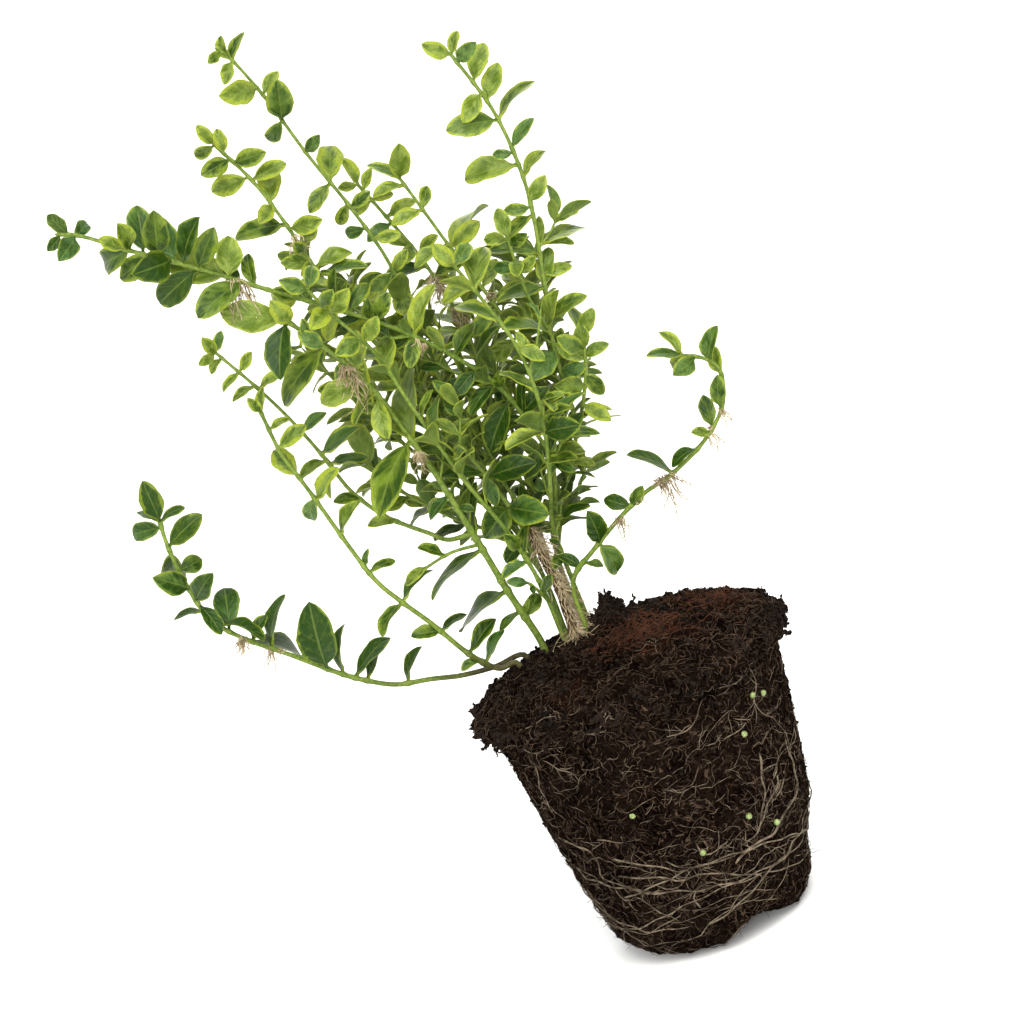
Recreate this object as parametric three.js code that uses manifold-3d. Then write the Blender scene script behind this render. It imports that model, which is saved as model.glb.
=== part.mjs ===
// A young variegated wintercreeper, out of its pot: a pot-shaped ball of peat and roots, an old
// woody stem, and long leafy shoots that each stand in a plain hole in the peat.
// Millimetres, +Z up. The origin is the middle of the flat foot that the ball stands on.
import * as THREE from 'three';
import { mergeVertices } from 'three/addons/utils/BufferGeometryUtils.js';
import Module from 'manifold-3d';

const wasm = await Module();
wasm.setup();

// Driving sizes of the root ball, which keeps the form of a 13 cm, one-litre pot
const FOOT_RADIUS = 27;
const WALL_FOOT_RADIUS = 44.5;
const WALL_FOOT_HEIGHT = 20;
const FOOT_ROUNDING = 12;
const WALL_TOP_RADIUS = 56.5;
const WALL_TOP_HEIGHT = 98;
const LIP_RADIUS = 62.5;
const LIP_HEIGHT = 105.5;
const CROWN_HEIGHT = 121.5;
const MOUND = { x: 1.5, y: 0, spread: 4.6, height: 11.5 };
const UNDERCUT = { x: 10, y: -29, reach: 18, depth: 7, fade: 30 };
const WALL_LUMPS = 0.5;
const LIP_RAGS = 1.3;
const SOIL_LUMPS = 0.7;
const BALL_SEGMENTS = 36;

// Driving sizes of stems and leaves
const HOLE_CLEARANCE = 0.35;
const HOLE_SIDES = 4;
const HOLE_BOTTOM = 107.5;
const STEM_SIDES = 4;
const STEM_STEP = 19;
const PETIOLE_SHARE = 0.5;
const BLADE_ASPECT = 0.48;
const BLADE_EDGE_LIFT = 0.4;
const BLADE_RIB_DROP = 0.8;
const BOW = 0.07;
const PAIR_SPACING = 14.5;
const RULE_LEAF_LENGTH = 18.5;
const ROOTLET_RADIUS = 0.55;

// Clear distances between sample points on one thing and the next
const SAMPLE_STEP = 1.6;
const CLEAR_OF_OTHERS = 3.1;
const CLEAR_OF_SISTERS = 1.9;
const OWN_BASE = 4.5;

// Circling roots and feed beads
const ROOT_RADIUS = 0.85;
const ROOT_SIDES = 3;
const ROOT_STEP_DEGREES = 15;
const ROOT_GAP = 0.8;
const ROOT_LAYER = 0.3;
const BEAD_RADIUS = 1.6;
const BEAD_SOCKET_RADIUS = 2.15;

const GREEN = { colour: 0x6f9a3a, roughness: 0.5 };
const BARK = { colour: 0x8b6b45, roughness: 0.85 };
const PEAT = { colour: 0x2d211a, roughness: 1.0 };
const PALE_ROOT = { colour: 0xb9a27c, roughness: 0.8 };
const FEED = { colour: 0xa9b36a, roughness: 0.4 };

// Stems and leaves are placed as they are seen from the front: across and up on a plane through
// the origin that faces a viewer 8 degrees above level, and depth, the distance behind the origin.
const ELEVATION = THREE.MathUtils.degToRad(8);
const EYE_DISTANCE = 800;
const AIM = { across: -19.4, up: 174 };
const RIGHT = new THREE.Vector3(1, 0, 0);
const UPWARD = new THREE.Vector3(0, Math.sin(ELEVATION), Math.cos(ELEVATION));
const AWAY = new THREE.Vector3(0, Math.cos(ELEVATION), -Math.sin(ELEVATION));
const EYE = RIGHT.clone().multiplyScalar(AIM.across).addScaledVector(UPWARD, AIM.up)
  .addScaledVector(AWAY, -EYE_DISTANCE);

function seen([across, up, depth]) {
  const onPlane = RIGHT.clone().multiplyScalar(across).addScaledVector(UPWARD, up);
  const reach = (depth - EYE.y) / (onPlane.y - EYE.y);
  return EYE.clone().addScaledVector(onPlane.sub(EYE), reach);
}

// One seeded sequence of draws serves the whole plant
let drawState = 20713;
function draw(low, high) {
  drawState = (drawState * 16807) % 2147483647;
  return low + (high - low) * (drawState / 2147483647);
}

// Each shoot: the soil hole (x, y), its thickness at foot and tip, and its route, as seen. A leaf is
// [base across, base up, tip across, tip up, width]. Twigs grow out of the shoot. A tuft of aerial
// rootlets is [across, up, count, length]. Leaves between the pair of heights in `fill` follow the
// rule for pairs.
const shoots = [
  {
    name: 'shoot_low_left', hole: [-35, 15], thick: [1.3, 0.8],
    route: [[-47, 121, 15], [-60, 122.5, 14], [-72, 125.6, 12], [-85, 128.5, 9], [-95, 134, 7],
      [-105, 141.5, 4], [-120, 155, 0], [-130, 163.5, -2], [-140, 174, -5], [-144.5, 184, -7],
      [-147, 200, -9], [-147.5, 213, -10], [-146.5, 223, -11]],
    leaves: [[-147, 223, -148, 237, 8.5], [-147, 224, -154, 227, 3.5], [-146, 224, -136, 222, 3],
      [-147, 218, -159, 219, 7], [-148, 209, -131, 217, 8], [-147, 207, -149, 198, 9],
      [-146, 193, -157, 201, 9], [-148, 199, -137, 201, 7], [-145, 188, -136, 194, 8],
      [-143, 182, -156, 183, 2.5], [-143, 184, -141, 171, 6], [-136, 174, -133, 188, 10],
      [-139, 178, -126, 163, 4], [-130, 164, -122, 172, 4], [-125, 160, -113, 177, 4],
      [-131, 162, -114, 149, 6], [-109, 145, -105, 170, 14], [-101, 140, -96, 158, 3],
      [-112, 149, -98, 142, 6], [-98, 137, -81, 147, 5], [-94, 134, -86, 144, 4],
      [-82, 128, -71, 139, 3]],
    tufts: [[-137, 167, 3, 6], [-125, 158, 2, 5]],
  },
  {
    name: 'shoot_left', hole: [-38.5, 7], thick: [1.3, 0.75],
    route: [[-46.5, 120, 6], [-55, 129.5, 3], [-64, 145.5, -2], [-72, 158, -6], [-78, 169, -9],
      [-83, 186, -12], [-88, 206, -15], [-91, 217, -17], [-94, 228, -19], [-95.5, 248, -22]],
    leaves: [[-61, 141, -73, 144, 5], [-61, 141, -50, 144, 3], [-72, 157, -84, 148, 4],
      [-71, 157, -56, 165, 4], [-80, 176, -76, 181, 2.5], [-79, 174, -68, 173, 3],
      [-84, 191, -73, 200, 3.5], [-88, 206, -93, 200, 6], [-87, 205, -76, 215, 4.5],
      [-92, 217, -96, 230, 8], [-93, 231, -81, 234, 6], [-94, 237, -86, 239, 3],
      [-95, 245, -98, 252, 4], [-95, 247, -91, 254, 3.5], [-51, 124, -60, 124.5, 3],
      [-54, 129, -40, 138, 6], [-50, 123.5, -39, 133, 4]],
    tufts: [],
  },
  {
    name: 'shoot_front', hole: [-27, 5], thick: [1.7, 0.85],
    route: [[-28, 128, 4], [-32, 146, 0], [-37, 175, -7], [-42, 201, -14], [-46.7, 219, -19],
      [-54, 243, -25], [-65, 262, -31], [-75, 277, -35]],
    leaves: [[-30, 134, -21, 141, 6], [-33, 145, -55, 138, 6], [-31, 143, -14, 160, 4],
      [-33, 150, -20, 158, 4.5], [-36, 164, -61, 155, 5], [-36, 170, -28, 190, 5],
      [-41, 187, -50, 183, 4], [-46, 212, -36, 240, 9], [-47, 213, -68, 191, 11],
      [-63, 258, -87, 245, 10], [-73, 274, -84, 254, 9], [-74, 276, -96, 286, 11],
      [-71, 272, -76, 284, 7], [-54, 243, -73, 240, 9], [-56, 246, -50, 262, 8],
      [-38, 184, -30, 178, 4]],
    twigs: [
      {
        thick: [1.1, 0.65],
        route: [[-36.5, 172, -6.6], [-46, 173, -2], [-52, 178, 2], [-65, 190, 6], [-74, 204, 9],
          [-79, 220, 10], [-86, 239, 9], [-94, 256, 8], [-104, 274.5, 7]],
        leaves: [[-104, 273, -106, 280, 5], [-103, 273, -98, 280, 4], [-103, 273, -111, 271, 4],
          [-102, 271, -108, 266, 3], [-97, 263, -90, 268, 4], [-97, 263, -106, 258, 3],
          [-93, 255, -104, 253, 3.5], [-92, 254, -82, 256, 3.5], [-84, 232, -72, 236, 4],
          [-78, 218, -91, 216, 4], [-79, 221, -62, 226, 6], [-77, 216, -63, 214, 4],
          [-62, 187, -73, 190, 4], [-66, 192, -56, 199, 4], [-72, 200, -82, 203, 4]],
        tufts: [],
      },
      {
        thick: [0.8, 0.6],
        route: [[-35.6, 167, -5.2], [-47, 168, -9], [-59, 166, -12]],
        leaves: [[-50, 168, -58, 175, 3.5], [-58, 166, -68, 163, 4]],
        tufts: [],
      },
    ],
    tufts: [[-57, 248, 4, 8], [-44, 207, 3, 6]],
  },
  {
    name: 'shoot_long', hole: [-10, 8], thick: [1.1, 0.75],
    route: [[-9.6, 150, 7.5], [-3, 170, 5.5], [2, 186, 2], [0, 200, -2], [-7, 222, -8], [-18.4, 238, -14],
      [-34, 255, -20], [-53, 271, -27], [-76, 288.5, -34], [-98, 306, -41], [-120, 322, -46],
      [-134, 333, -49], [-144, 338, -50]],
    leaves: [[-144, 337, -149, 333, 4], [-141, 335, -144, 346, 5], [-136, 333, -146, 328, 7],
      [-136, 333, -131, 338, 5], [-119, 325, -129, 330, 5], [-117, 323, -131, 320, 9],
      [-119, 323, -120, 333, 6], [-113, 321, -110, 337, 9], [-110, 316, -105, 332, 9],
      [-104, 315, -107, 331, 10], [-99, 312, -90, 324, 7], [-113, 317, -127, 313, 8],
      [-106, 311, -121, 312, 11], [-98, 304, -117, 299, 10], [-97, 307, -86, 318, 8],
      [-88, 297, -107, 315, 13], [-86, 299, -82, 313, 9], [-84, 294, -92, 303, 5],
      [-85, 291, -104, 288, 9], [-80, 289, -78, 304, 5], [-76, 287, -66, 281, 6],
      [-60, 278, -58, 293, 8], [-59, 275, -52, 267, 5], [-41, 263, -57, 257, 7],
      [-41, 262, -33, 270, 6], [-28, 251, -15, 267, 7], [-29, 249, -36, 240, 6],
      [-17, 238, -6, 247, 6], [-12, 230, -24, 224, 6], [-4.6, 213, -19, 199, 9],
      [-2, 207, 11, 214, 6], [1, 194, -9, 184, 7]],
    tufts: [[-84, 296, 4, 8], [-27, 249, 2, 5]],
  },
  {
    name: 'shoot_upper_left', hole: [-17, 9], thick: [1.1, 0.7],
    route: [[-17.4, 150, 8.5], [-18.8, 173, 4], [-25.7, 197, 1], [-34, 227, 3], [-45, 255, 5],
      [-55, 287, 8], [-60, 310, 11], [-66, 330, 14], [-75, 349, 16]],
    leaves: [[-74.5, 348, -78, 357, 5], [-74.5, 348, -83, 346, 5], [-71, 343, -71, 353, 5],
      [-70, 341, -83, 338, 7], [-69, 339, -57, 338, 7], [-66, 331, -82, 331, 8],
      [-64, 329, -51, 331, 6], [-62.5, 319, -58, 332, 9], [-62, 318, -69, 313, 6],
      [-59, 309, -80, 312, 8], [-58, 307, -46, 305, 7], [-58, 299, -49, 304, 5],
      [-56, 292, -67, 296, 6], [-55, 289, -40, 290, 6], [-51, 273, -64, 275, 7],
      [-49, 269, -38, 276, 6], [-21, 190, -39, 196, 8], [-21, 190, -4, 188, 9],
      [-18.5, 176, -33, 169, 11], [-18.5, 176, -7, 168, 11], [-18, 163, -29, 157, 6]],
    fill: [200, 262], tufts: [[-57.5, 303, 3, 6]],
  },
  {
    name: 'shoot_tall', hole: [-13.5, 10.5], thick: [1.1, 0.7],
    route: [[-13.8, 152, 11.5], [-17, 180, 14], [-24, 212, 17], [-27.7, 245, 16], [-28, 278, 14],
      [-34, 305, 13], [-42, 330, 12], [-49, 356, 11], [-56, 375.5, 10], [-60.4, 382, 9]],
    leaves: [[-60, 381, -65, 378, 4], [-56, 375, -48, 384, 4], [-56.5, 374, -62, 368, 5],
      [-56, 376, -57, 386, 4], [-50.5, 362, -65, 364, 9], [-49.5, 358, -41, 365, 5],
      [-46.5, 347, -43, 362, 10], [-46, 346, -54, 341, 6], [-42, 331, -35, 336, 5],
      [-38, 318, -33, 331, 10], [-39, 317, -50, 310, 6], [-35, 307, -41, 301, 5],
      [-35, 306, -25, 309, 5], [-31, 296, -40, 297, 5], [-30.5, 292, -20, 289, 5],
      [-28, 277, -39, 273, 6], [-28, 276, -20, 283, 5]],
    fill: [186, 266], tufts: [],
  },
  {
    name: 'shoot_upper_middle', hole: [-13.5, 14.5], thick: [1.1, 0.7],
    route: [[-13.3, 150, 16.5], [-12, 180, 23], [-11, 215, 26], [-10.4, 248, 28], [-16, 277, 29],
      [-24, 301, 30], [-29, 314.5, 31]],
    leaves: [[-29, 315, -31, 325, 5], [-28.5, 313, -36, 315, 4], [-27.5, 310, -21, 317, 4],
      [-26, 306, -34, 304, 5], [-25, 305, -17, 305, 4], [-23, 297, -10, 299, 5],
      [-22, 294, -33, 291, 5], [-18, 284, -26, 289, 4], [-17, 280, -7, 284, 4],
      [-15, 274, -34, 273, 5], [-14, 271, -2, 270, 5]],
    fill: [180, 262], tufts: [[-13, 267, 6, 8], [-11, 255, 4, 7]],
  },
  {
    name: 'shoot_middle', hole: [-10, 12], thick: [1.1, 0.7],
    route: [[-9.6, 148, 12.5], [-7, 164, 13.2], [1, 183, 14], [6, 205, 16], [8.6, 226, 17],
      [2.7, 254, 18], [-3.5, 275, 19], [-9.5, 298, 20], [-13, 311, 20]],
    leaves: [[-13, 310, -8, 322, 8], [-13, 309, -22, 319, 4], [-12.5, 307, -25, 307, 4],
      [-9, 295, -4, 303, 5], [-9, 294, -22, 294, 5], [-5, 279, -20, 275, 5],
      [-4, 277, 10, 283, 7], [-3.5, 274, 14, 288, 3.5], [0.5, 261, -15, 259, 6],
      [1, 259, 11, 267, 6], [3, 252, 20, 254, 5], [4, 249, -8, 243, 6], [7, 236, 20, 240, 7],
      [7, 235, -6, 231, 7]],
    fill: [186, 226], tufts: [[2, 256, 2, 5]],
  },
  {
    name: 'shoot_right', hole: [-10, 16], thick: [1.15, 0.75],
    route: [[-9.4, 150, 17.5], [-2, 170, 19.5], [8.4, 182, 16], [16, 198, 10], [18.7, 226, 5],
      [24.4, 251, 2], [30, 277, 0], [32, 297, -2], [30.4, 321, -4], [24, 344, -6], [22.6, 348, -6]],
    leaves: [[23, 347, 14, 354, 6], [23, 347, 29, 354, 4], [24, 344, 34, 347, 6],
      [25.5, 334, 37, 346, 7], [28, 328, 18, 321, 7], [29, 324, 39, 337, 7],
      [31, 317, 11, 320, 9], [31, 316, 50, 325, 3], [31.5, 305, 44, 312, 5],
      [32, 302, 24, 305, 4], [32, 297, 10.5, 300, 8], [32, 293, 44, 299, 4],
      [31, 283, 40, 290, 6], [30.5, 281, 20, 283, 5], [30, 277, 16, 272, 5],
      [29, 266, 47, 266, 5], [27, 264, 9, 271, 6], [24, 250, 31, 264, 7],
      [25, 254, 37, 254, 5], [24, 249, 5, 252, 6], [21, 238, 38, 241, 5],
      [20.5, 236, 28, 247, 5], [19, 228, 29, 219, 7], [18.7, 226, 6, 219, 9]],
    twigs: [
      {
        thick: [0.9, 0.65],
        route: [[14, 192, 12], [22, 204, 5], [28, 217, 0], [31, 230, -3]],
        leaves: [[18, 199, 31, 197, 4], [21, 202, 29, 193, 6], [24, 208, 14, 213, 7],
          [27, 213, 30, 203, 6], [28, 218, 39, 221, 5], [29, 222, 21, 230, 7],
          [31, 229, 38, 236, 6], [31, 229, 30, 240, 5]],
        tufts: [],
      },
      {
        thick: [0.8, 0.6],
        route: [[20, 232, 4.4], [17, 247, 0], [17, 262, -4], [18, 275, -6]],
        leaves: [[18, 275, 18, 285, 6], [17.8, 273, 9, 276, 5], [17.5, 270, 25, 272, 5],
          [17, 261, 8, 264, 5], [17, 259, 25, 262, 5]],
        tufts: [],
      },
    ],
    fill: [186, 222], tufts: [],
  },
  {
    name: 'shoot_runner', hole: [-9.2, 0], thick: [1.2, 0.75],
    route: [[-8.6, 136, -1], [-5.3, 143, -4], [4.6, 149, -7], [17, 156, -10], [30.5, 162, -13],
      [42, 164.7, -15], [56, 170.4, -18], [67, 178, -20], [73, 186, -22], [75, 196, -23],
      [71, 202, -24], [62, 207, -25]],
    leaves: [[61.5, 207, 51, 211, 4], [61.5, 207, 59, 218, 3.5], [68, 203.5, 58, 200, 7],
      [64, 206, 58, 203, 5], [73.5, 200, 80, 212, 5], [75, 193, 76, 205, 5],
      [70.5, 182, 73, 194, 6], [64, 176, 66, 189, 6], [62, 174.5, 56, 177, 4],
      [56, 170.5, 44, 168, 4], [44, 165.5, 30, 178.5, 4], [23, 158.6, 15.5, 166, 6],
      [7, 150.5, 8, 163, 8], [8, 151, 10.5, 137, 8], [-1, 145.5, 6, 142, 3],
      [-3, 144.5, -9, 152, 4], [24, 159, 31, 165, 5]],
    tufts: [[18, 156.5, 2, 8], [27, 160.5, 2, 6], [40, 164.3, 5, 12], [64, 175.5, 2, 6],
      [69.5, 181, 1, 5]],
  },
  {
    name: 'shoot_back_left', hole: [-17, 16.5], thick: [1.1, 0.7],
    route: [[-17.5, 150, 19], [-23, 172, 24], [-38, 196, 31], [-52, 220, 36], [-63, 243, 38],
      [-70, 262, 38]],
    leaves: [], fill: [176, 264], tufts: [],
  },
  {
    name: 'shoot_back', hole: [-17, 20.5], thick: [1.1, 0.7],
    route: [[-17.5, 150, 26], [-22, 178, 36], [-31, 212, 45], [-38, 247, 49], [-45, 283, 49]],
    leaves: [], fill: [176, 284], tufts: [],
  },
  {
    name: 'shoot_back_middle', hole: [-13.5, 19], thick: [1.1, 0.7],
    route: [[-13.3, 150, 25], [-10, 180, 42], [-7, 215, 52], [-6, 250, 55], [-12, 281, 54]],
    leaves: [], fill: [176, 282], tufts: [],
  },
  {
    name: 'shoot_back_right', hole: [-10, 20], thick: [1.1, 0.7],
    route: [[-9.3, 150, 23], [2, 174, 33], [13, 205, 37], [18, 240, 38], [16, 274, 36]],
    leaves: [], fill: [174, 276], tufts: [],
  },
  {
    name: 'shoot_front_left', hole: [-18.7, 3.5], thick: [1.1, 0.7],
    route: [[-19.5, 146, 0], [-24, 168, -8], [-32, 192, -17], [-40, 224, -24], [-46, 250, -28],
      [-56, 270, -31], [-62, 284, -33]],
    leaves: [[-61.5, 283, -70, 290, 6], [-62, 283, -56, 291, 6], [-57, 272, -66, 268, 7],
      [-56, 270, -47, 277, 7], [-49, 257, -60, 255, 7], [-48, 255, -40, 263, 6]],
    twigs: [
      {
        thick: [0.8, 0.6],
        route: [[-19, 137, 1.5], [-21, 142, -4], [-24, 147, -9]],
        leaves: [[-23.5, 146.5, -31, 150, 4], [-20.5, 141, -14, 146, 4]],
        tufts: [],
      },
    ],
    fill: [178, 250], tufts: [],
  },
  {
    name: 'shoot_front_right', hole: [-7.4, 4.6], thick: [1.1, 0.7],
    route: [[-7.4, 146, 4.6], [-6.8, 163, 2.6], [-2, 178, -11], [5, 204, -22], [6, 230, -25],
      [0, 254, -27], [-6, 272, -28]],
    leaves: [[-6, 271, -10, 281, 6], [-6, 270, 3, 277, 6]],
    fill: [176, 262], tufts: [],
  },
  {
    name: 'shoot_left_low', hole: [-17, 12.7], thick: [1.1, 0.7],
    route: [[-17.5, 148, 13.5], [-25, 165, 16.5], [-42, 181, 19], [-56, 197, 22], [-66, 214, 24]],
    leaves: [], fill: [160, 216], tufts: [],
  },
];

// The old woody stem, in its shag of rootlets
const oldStem = {
  name: 'old_stem', hole: [-14, 3], thick: [2.7, 1.8],
  route: [[-13.3, 140, 3], [-14.5, 152, 3], [-15.5, 166, 3]],
  leaves: [],
  tufts: [[-13.4, 134, 2, 4.5], [-13.5, 142, 4, 6], [-14, 149, 4, 8], [-15, 156, 4, 7],
    [-15.5, 162, 2, 6]],
};

// The root ball's form

function crumb(x, y, z) {
  return Math.sin(0.31 * x + 0.17 * z) * Math.sin(0.27 * y - 0.13 * z + 1.3)
    + 0.6 * Math.sin(0.58 * x - 0.41 * y + 0.37 * z);
}

// The ball is rounder at the foot on its right side
function wallRadius(turn, z) {
  const up = THREE.MathUtils.clamp(z / WALL_FOOT_HEIGHT, 0, 1);
  const foot = FOOT_RADIUS + (WALL_FOOT_RADIUS - FOOT_RADIUS) * Math.sqrt(up * (2 - up));
  const rise = Math.max(0, (z - WALL_FOOT_HEIGHT) / (WALL_TOP_HEIGHT - WALL_FOOT_HEIGHT));
  const wall = (WALL_TOP_RADIUS - WALL_FOOT_RADIUS) * Math.pow(rise, 0.85);
  const low = THREE.MathUtils.clamp((45 - z) / 45, 0, 1);
  const rounding = FOOT_ROUNDING * low * low * up * Math.max(0, Math.cos(turn));
  return foot + wall - rounding;
}

function wallPoint(turn, z, proud) {
  const bare = wallRadius(turn, z);
  const lumps = WALL_LUMPS * crumb(0.5 * bare * Math.cos(turn), 0.5 * bare * Math.sin(turn), 0.5 * z);
  const reach = bare + lumps + proud;
  return new THREE.Vector3(reach * Math.cos(turn), reach * Math.sin(turn), z);
}

// Foot, wall, lip and crown as radius and height, from the foot's middle to the crown's middle
const ballProfile = [
  [0, 0], [FOOT_RADIUS * 0.55, 0], [FOOT_RADIUS, 0], ...[2.5, 9, 20, 36, 56, 78, WALL_TOP_HEIGHT]
    .map((z) => [null, z]),
  [LIP_RADIUS - 1, 101], [LIP_RADIUS, LIP_HEIGHT], [LIP_RADIUS - 6, 111], [47, 116.2], [33, 119.4],
  [19, CROWN_HEIGHT - 0.5], [10, CROWN_HEIGHT], [5, CROWN_HEIGHT], [0, CROWN_HEIGHT],
];

function ballPoint(turn, row) {
  const [radius, z] = ballProfile[row];
  if (radius === null) {
    return wallPoint(turn, z, 0);
  }
  const x = radius * Math.cos(turn);
  const y = radius * Math.sin(turn);
  if (z < WALL_TOP_HEIGHT) {
    return new THREE.Vector3(x, y, z);
  }
  const ragged = radius > WALL_TOP_RADIUS - 1 ? LIP_RAGS * crumb(2.1 * x, 2.1 * y, z) : 0;
  const point = new THREE.Vector3(x + ragged * Math.cos(turn), y + ragged * Math.sin(turn), z);
  if (z > LIP_HEIGHT) {
    point.z += moundHeight(x, y) + (radius > 0 ? SOIL_LUMPS * crumb(1.7 * x, 1.7 * y, z) : 0);
  }
  return point;
}

function moundHeight(x, y) {
  const near = Math.hypot(x - MOUND.x, y - MOUND.y) / MOUND.spread;
  return MOUND.height * Math.exp(-0.5 * near * near);
}

// A hollow under the foot at the front, where peat has broken away
function undercut(point) {
  const near = Math.hypot(point.x - UNDERCUT.x, point.y - UNDERCUT.y) / UNDERCUT.reach;
  const fade = THREE.MathUtils.clamp(1 - point.z / UNDERCUT.fade, 0, 1);
  point.z += UNDERCUT.depth * 0.5 * (1 + Math.cos(Math.PI * Math.min(near, 1))) * fade;
  return point;
}

// Closed solids from three.js geometries, whose vertices are moved to their places

function moved(geometry, place) {
  const position = geometry.attributes.position;
  const vertex = new THREE.Vector3();
  for (let i = 0; i < position.count; i += 1) {
    vertex.fromBufferAttribute(position, i);
    const to = place(vertex);
    position.setXYZ(i, to.x, to.y, to.z);
  }
  return solid(geometry);
}

function solid(geometry) {
  const merged = mergeVertices(geometry.deleteAttribute('normal').deleteAttribute('uv'), 1e-5);
  const index = merged.index.array;
  const whole = [];
  for (let i = 0; i < index.length; i += 3) {
    const [a, b, c] = [index[i], index[i + 1], index[i + 2]];
    if (a !== b && b !== c && c !== a) {
      whole.push(a, b, c);
    }
  }
  const vertProperties = new Float32Array(merged.attributes.position.array);
  const triVerts = new Uint32Array(whole);
  return new wasm.Manifold(new wasm.Mesh({ numProp: 3, vertProperties, triVerts }));
}

function joined(solids) {
  return solids.reduce((all, one) => all.add(one));
}

// The largest body of a join, without loose scraps
function withoutScraps(body) {
  return body.decompose().reduce((best, one) => (one.volume() > best.volume() ? one : best));
}

function meshOf(name, body, look) {
  const result = body.getMesh();
  const geometry = new THREE.BufferGeometry();
  geometry.setAttribute('position', new THREE.BufferAttribute(result.vertProperties, 3));
  geometry.setIndex(new THREE.BufferAttribute(result.triVerts, 1));
  geometry.computeVertexNormals();
  const material = new THREE.MeshStandardMaterial({
    color: look.colour, roughness: look.roughness, metalness: 0,
  });
  const mesh = new THREE.Mesh(geometry, material);
  mesh.name = name;
  return mesh;
}

// A tapering tube: a cylinder whose rows of vertices are carried along the route
function tube(points, radii, sides) {
  const steps = points.length - 1;
  const frames = framesAlong(points);
  return moved(new THREE.CylinderGeometry(1, 1, 1, sides, steps), (vertex) => {
    const row = Math.round((vertex.y + 0.5) * steps);
    const { normal, binormal } = frames[row];
    return points[row].clone().addScaledVector(normal, vertex.x * radii[row])
      .addScaledVector(binormal, vertex.z * radii[row]);
  });
}

function framesAlong(points) {
  const frames = [];
  let normal = new THREE.Vector3(1, 0, 0);
  points.forEach((point, row) => {
    const before = points[Math.max(row - 1, 0)];
    const after = points[Math.min(row + 1, points.length - 1)];
    const tangent = after.clone().sub(before).normalize();
    if (Math.abs(normal.dot(tangent)) > 0.9) {
      normal = new THREE.Vector3(0, 0, 1);
    }
    normal = normal.clone().addScaledVector(tangent, -normal.dot(tangent)).normalize();
    frames.push({ tangent, normal, binormal: normal.clone().cross(tangent) });
  });
  return frames;
}

// A stem's route as evenly spaced points on a smooth curve, with its radius at each
function stemLine(plan, foot) {
  const curve = new THREE.CatmullRomCurve3(plan.route.map(seen), false, 'catmullrom', 0.5);
  const steps = Math.max(2, Math.round(curve.getLength() / STEM_STEP));
  const points = [...foot, ...curve.getSpacedPoints(steps)];
  const radii = points.map((_, row) => {
    const along = row / (points.length - 1);
    return plan.thick[0] + (plan.thick[1] - plan.thick[0]) * along;
  });
  return { points, radii, frames: framesAlong(points) };
}

function nearestOn(line, target) {
  let best = { distance: Infinity };
  for (let row = 0; row < line.points.length - 1; row += 1) {
    const start = line.points[row];
    const run = line.points[row + 1].clone().sub(start);
    for (let k = 0; k < 8; k += 1) {
      const point = start.clone().addScaledVector(run, k / 8);
      const distance = flatDistance(point, target);
      if (distance < best.distance) {
        best = { distance, point, row };
      }
    }
  }
  return best;
}

// How far apart two points look from the front
function flatDistance(point, target) {
  const sight = target.clone().sub(EYE).normalize();
  const arm = point.clone().sub(EYE);
  return arm.addScaledVector(sight, -arm.dot(sight)).length();
}

// Sample points of all stems and leaves, kept in cells, so that a new leaf can be set clear
const cells = new Map();

function cellKey(x, y, z) {
  return `${x},${y},${z}`;
}

function keep(samples) {
  for (const sample of samples) {
    const [x, y, z] = sample.at.toArray().map((value) => Math.floor(value / CLEAR_OF_OTHERS));
    const key = cellKey(x, y, z);
    if (!cells.has(key)) {
      cells.set(key, []);
    }
    cells.get(key).push(sample);
  }
}

function isClear(samples) {
  return samples.every((sample) => {
    const [x, y, z] = sample.at.toArray().map((value) => Math.floor(value / CLEAR_OF_OTHERS));
    for (let i = x - 1; i <= x + 1; i += 1) {
      for (let j = y - 1; j <= y + 1; j += 1) {
        for (let k = z - 1; k <= z + 1; k += 1) {
          for (const other of cells.get(cellKey(i, j, k)) ?? []) {
            if (meets(sample, other)) {
              return false;
            }
          }
        }
      }
    }
    return true;
  });
}

function meets(sample, other) {
  const distance = sample.at.distanceTo(other.at);
  if (other.owner !== sample.owner) {
    return distance < CLEAR_OF_OTHERS;
  }
  return !sample.nearBase && !other.nearBase && distance < CLEAR_OF_SISTERS;
}

function lineSamples(line, owner) {
  const samples = [];
  for (let row = 0; row < line.points.length - 1; row += 1) {
    const run = line.points[row + 1].clone().sub(line.points[row]);
    const count = Math.ceil(run.length() / SAMPLE_STEP);
    for (let k = 0; k < count; k += 1) {
      const at = line.points[row].clone().addScaledVector(run, k / count);
      samples.push({ at, owner, nearBase: true });
    }
  }
  return samples;
}

// A blade is a base, an axis, a side direction, a length and a width. Its outline is widest just
// short of the middle and ends in a point; its edges stand a little above its midrib.
const FULL_ROWS = [[0, 0], [0.13, 0.14], [0.4, 1], [0.75, 0.76], [1, 0]];
const SHORT_ROWS = [[0, 0], [0.16, 0.15], [0.55, 1], [1, 0]];
const FULL_LENGTH = 15.5;

function bladeFace(blade) {
  return blade.side.clone().cross(blade.axis);
}

function onBlade(blade, along, across, lift) {
  const face = bladeFace(blade);
  const bow = BOW * blade.length * 4 * along * (1 - along);
  return blade.base.clone().addScaledVector(blade.axis, blade.length * along)
    .addScaledVector(blade.side, across)
    .addScaledVector(face, bow + lift);
}

function outline(along) {
  return Math.pow(Math.sin(Math.PI * Math.pow(along, 0.9)), 0.75);
}

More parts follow.
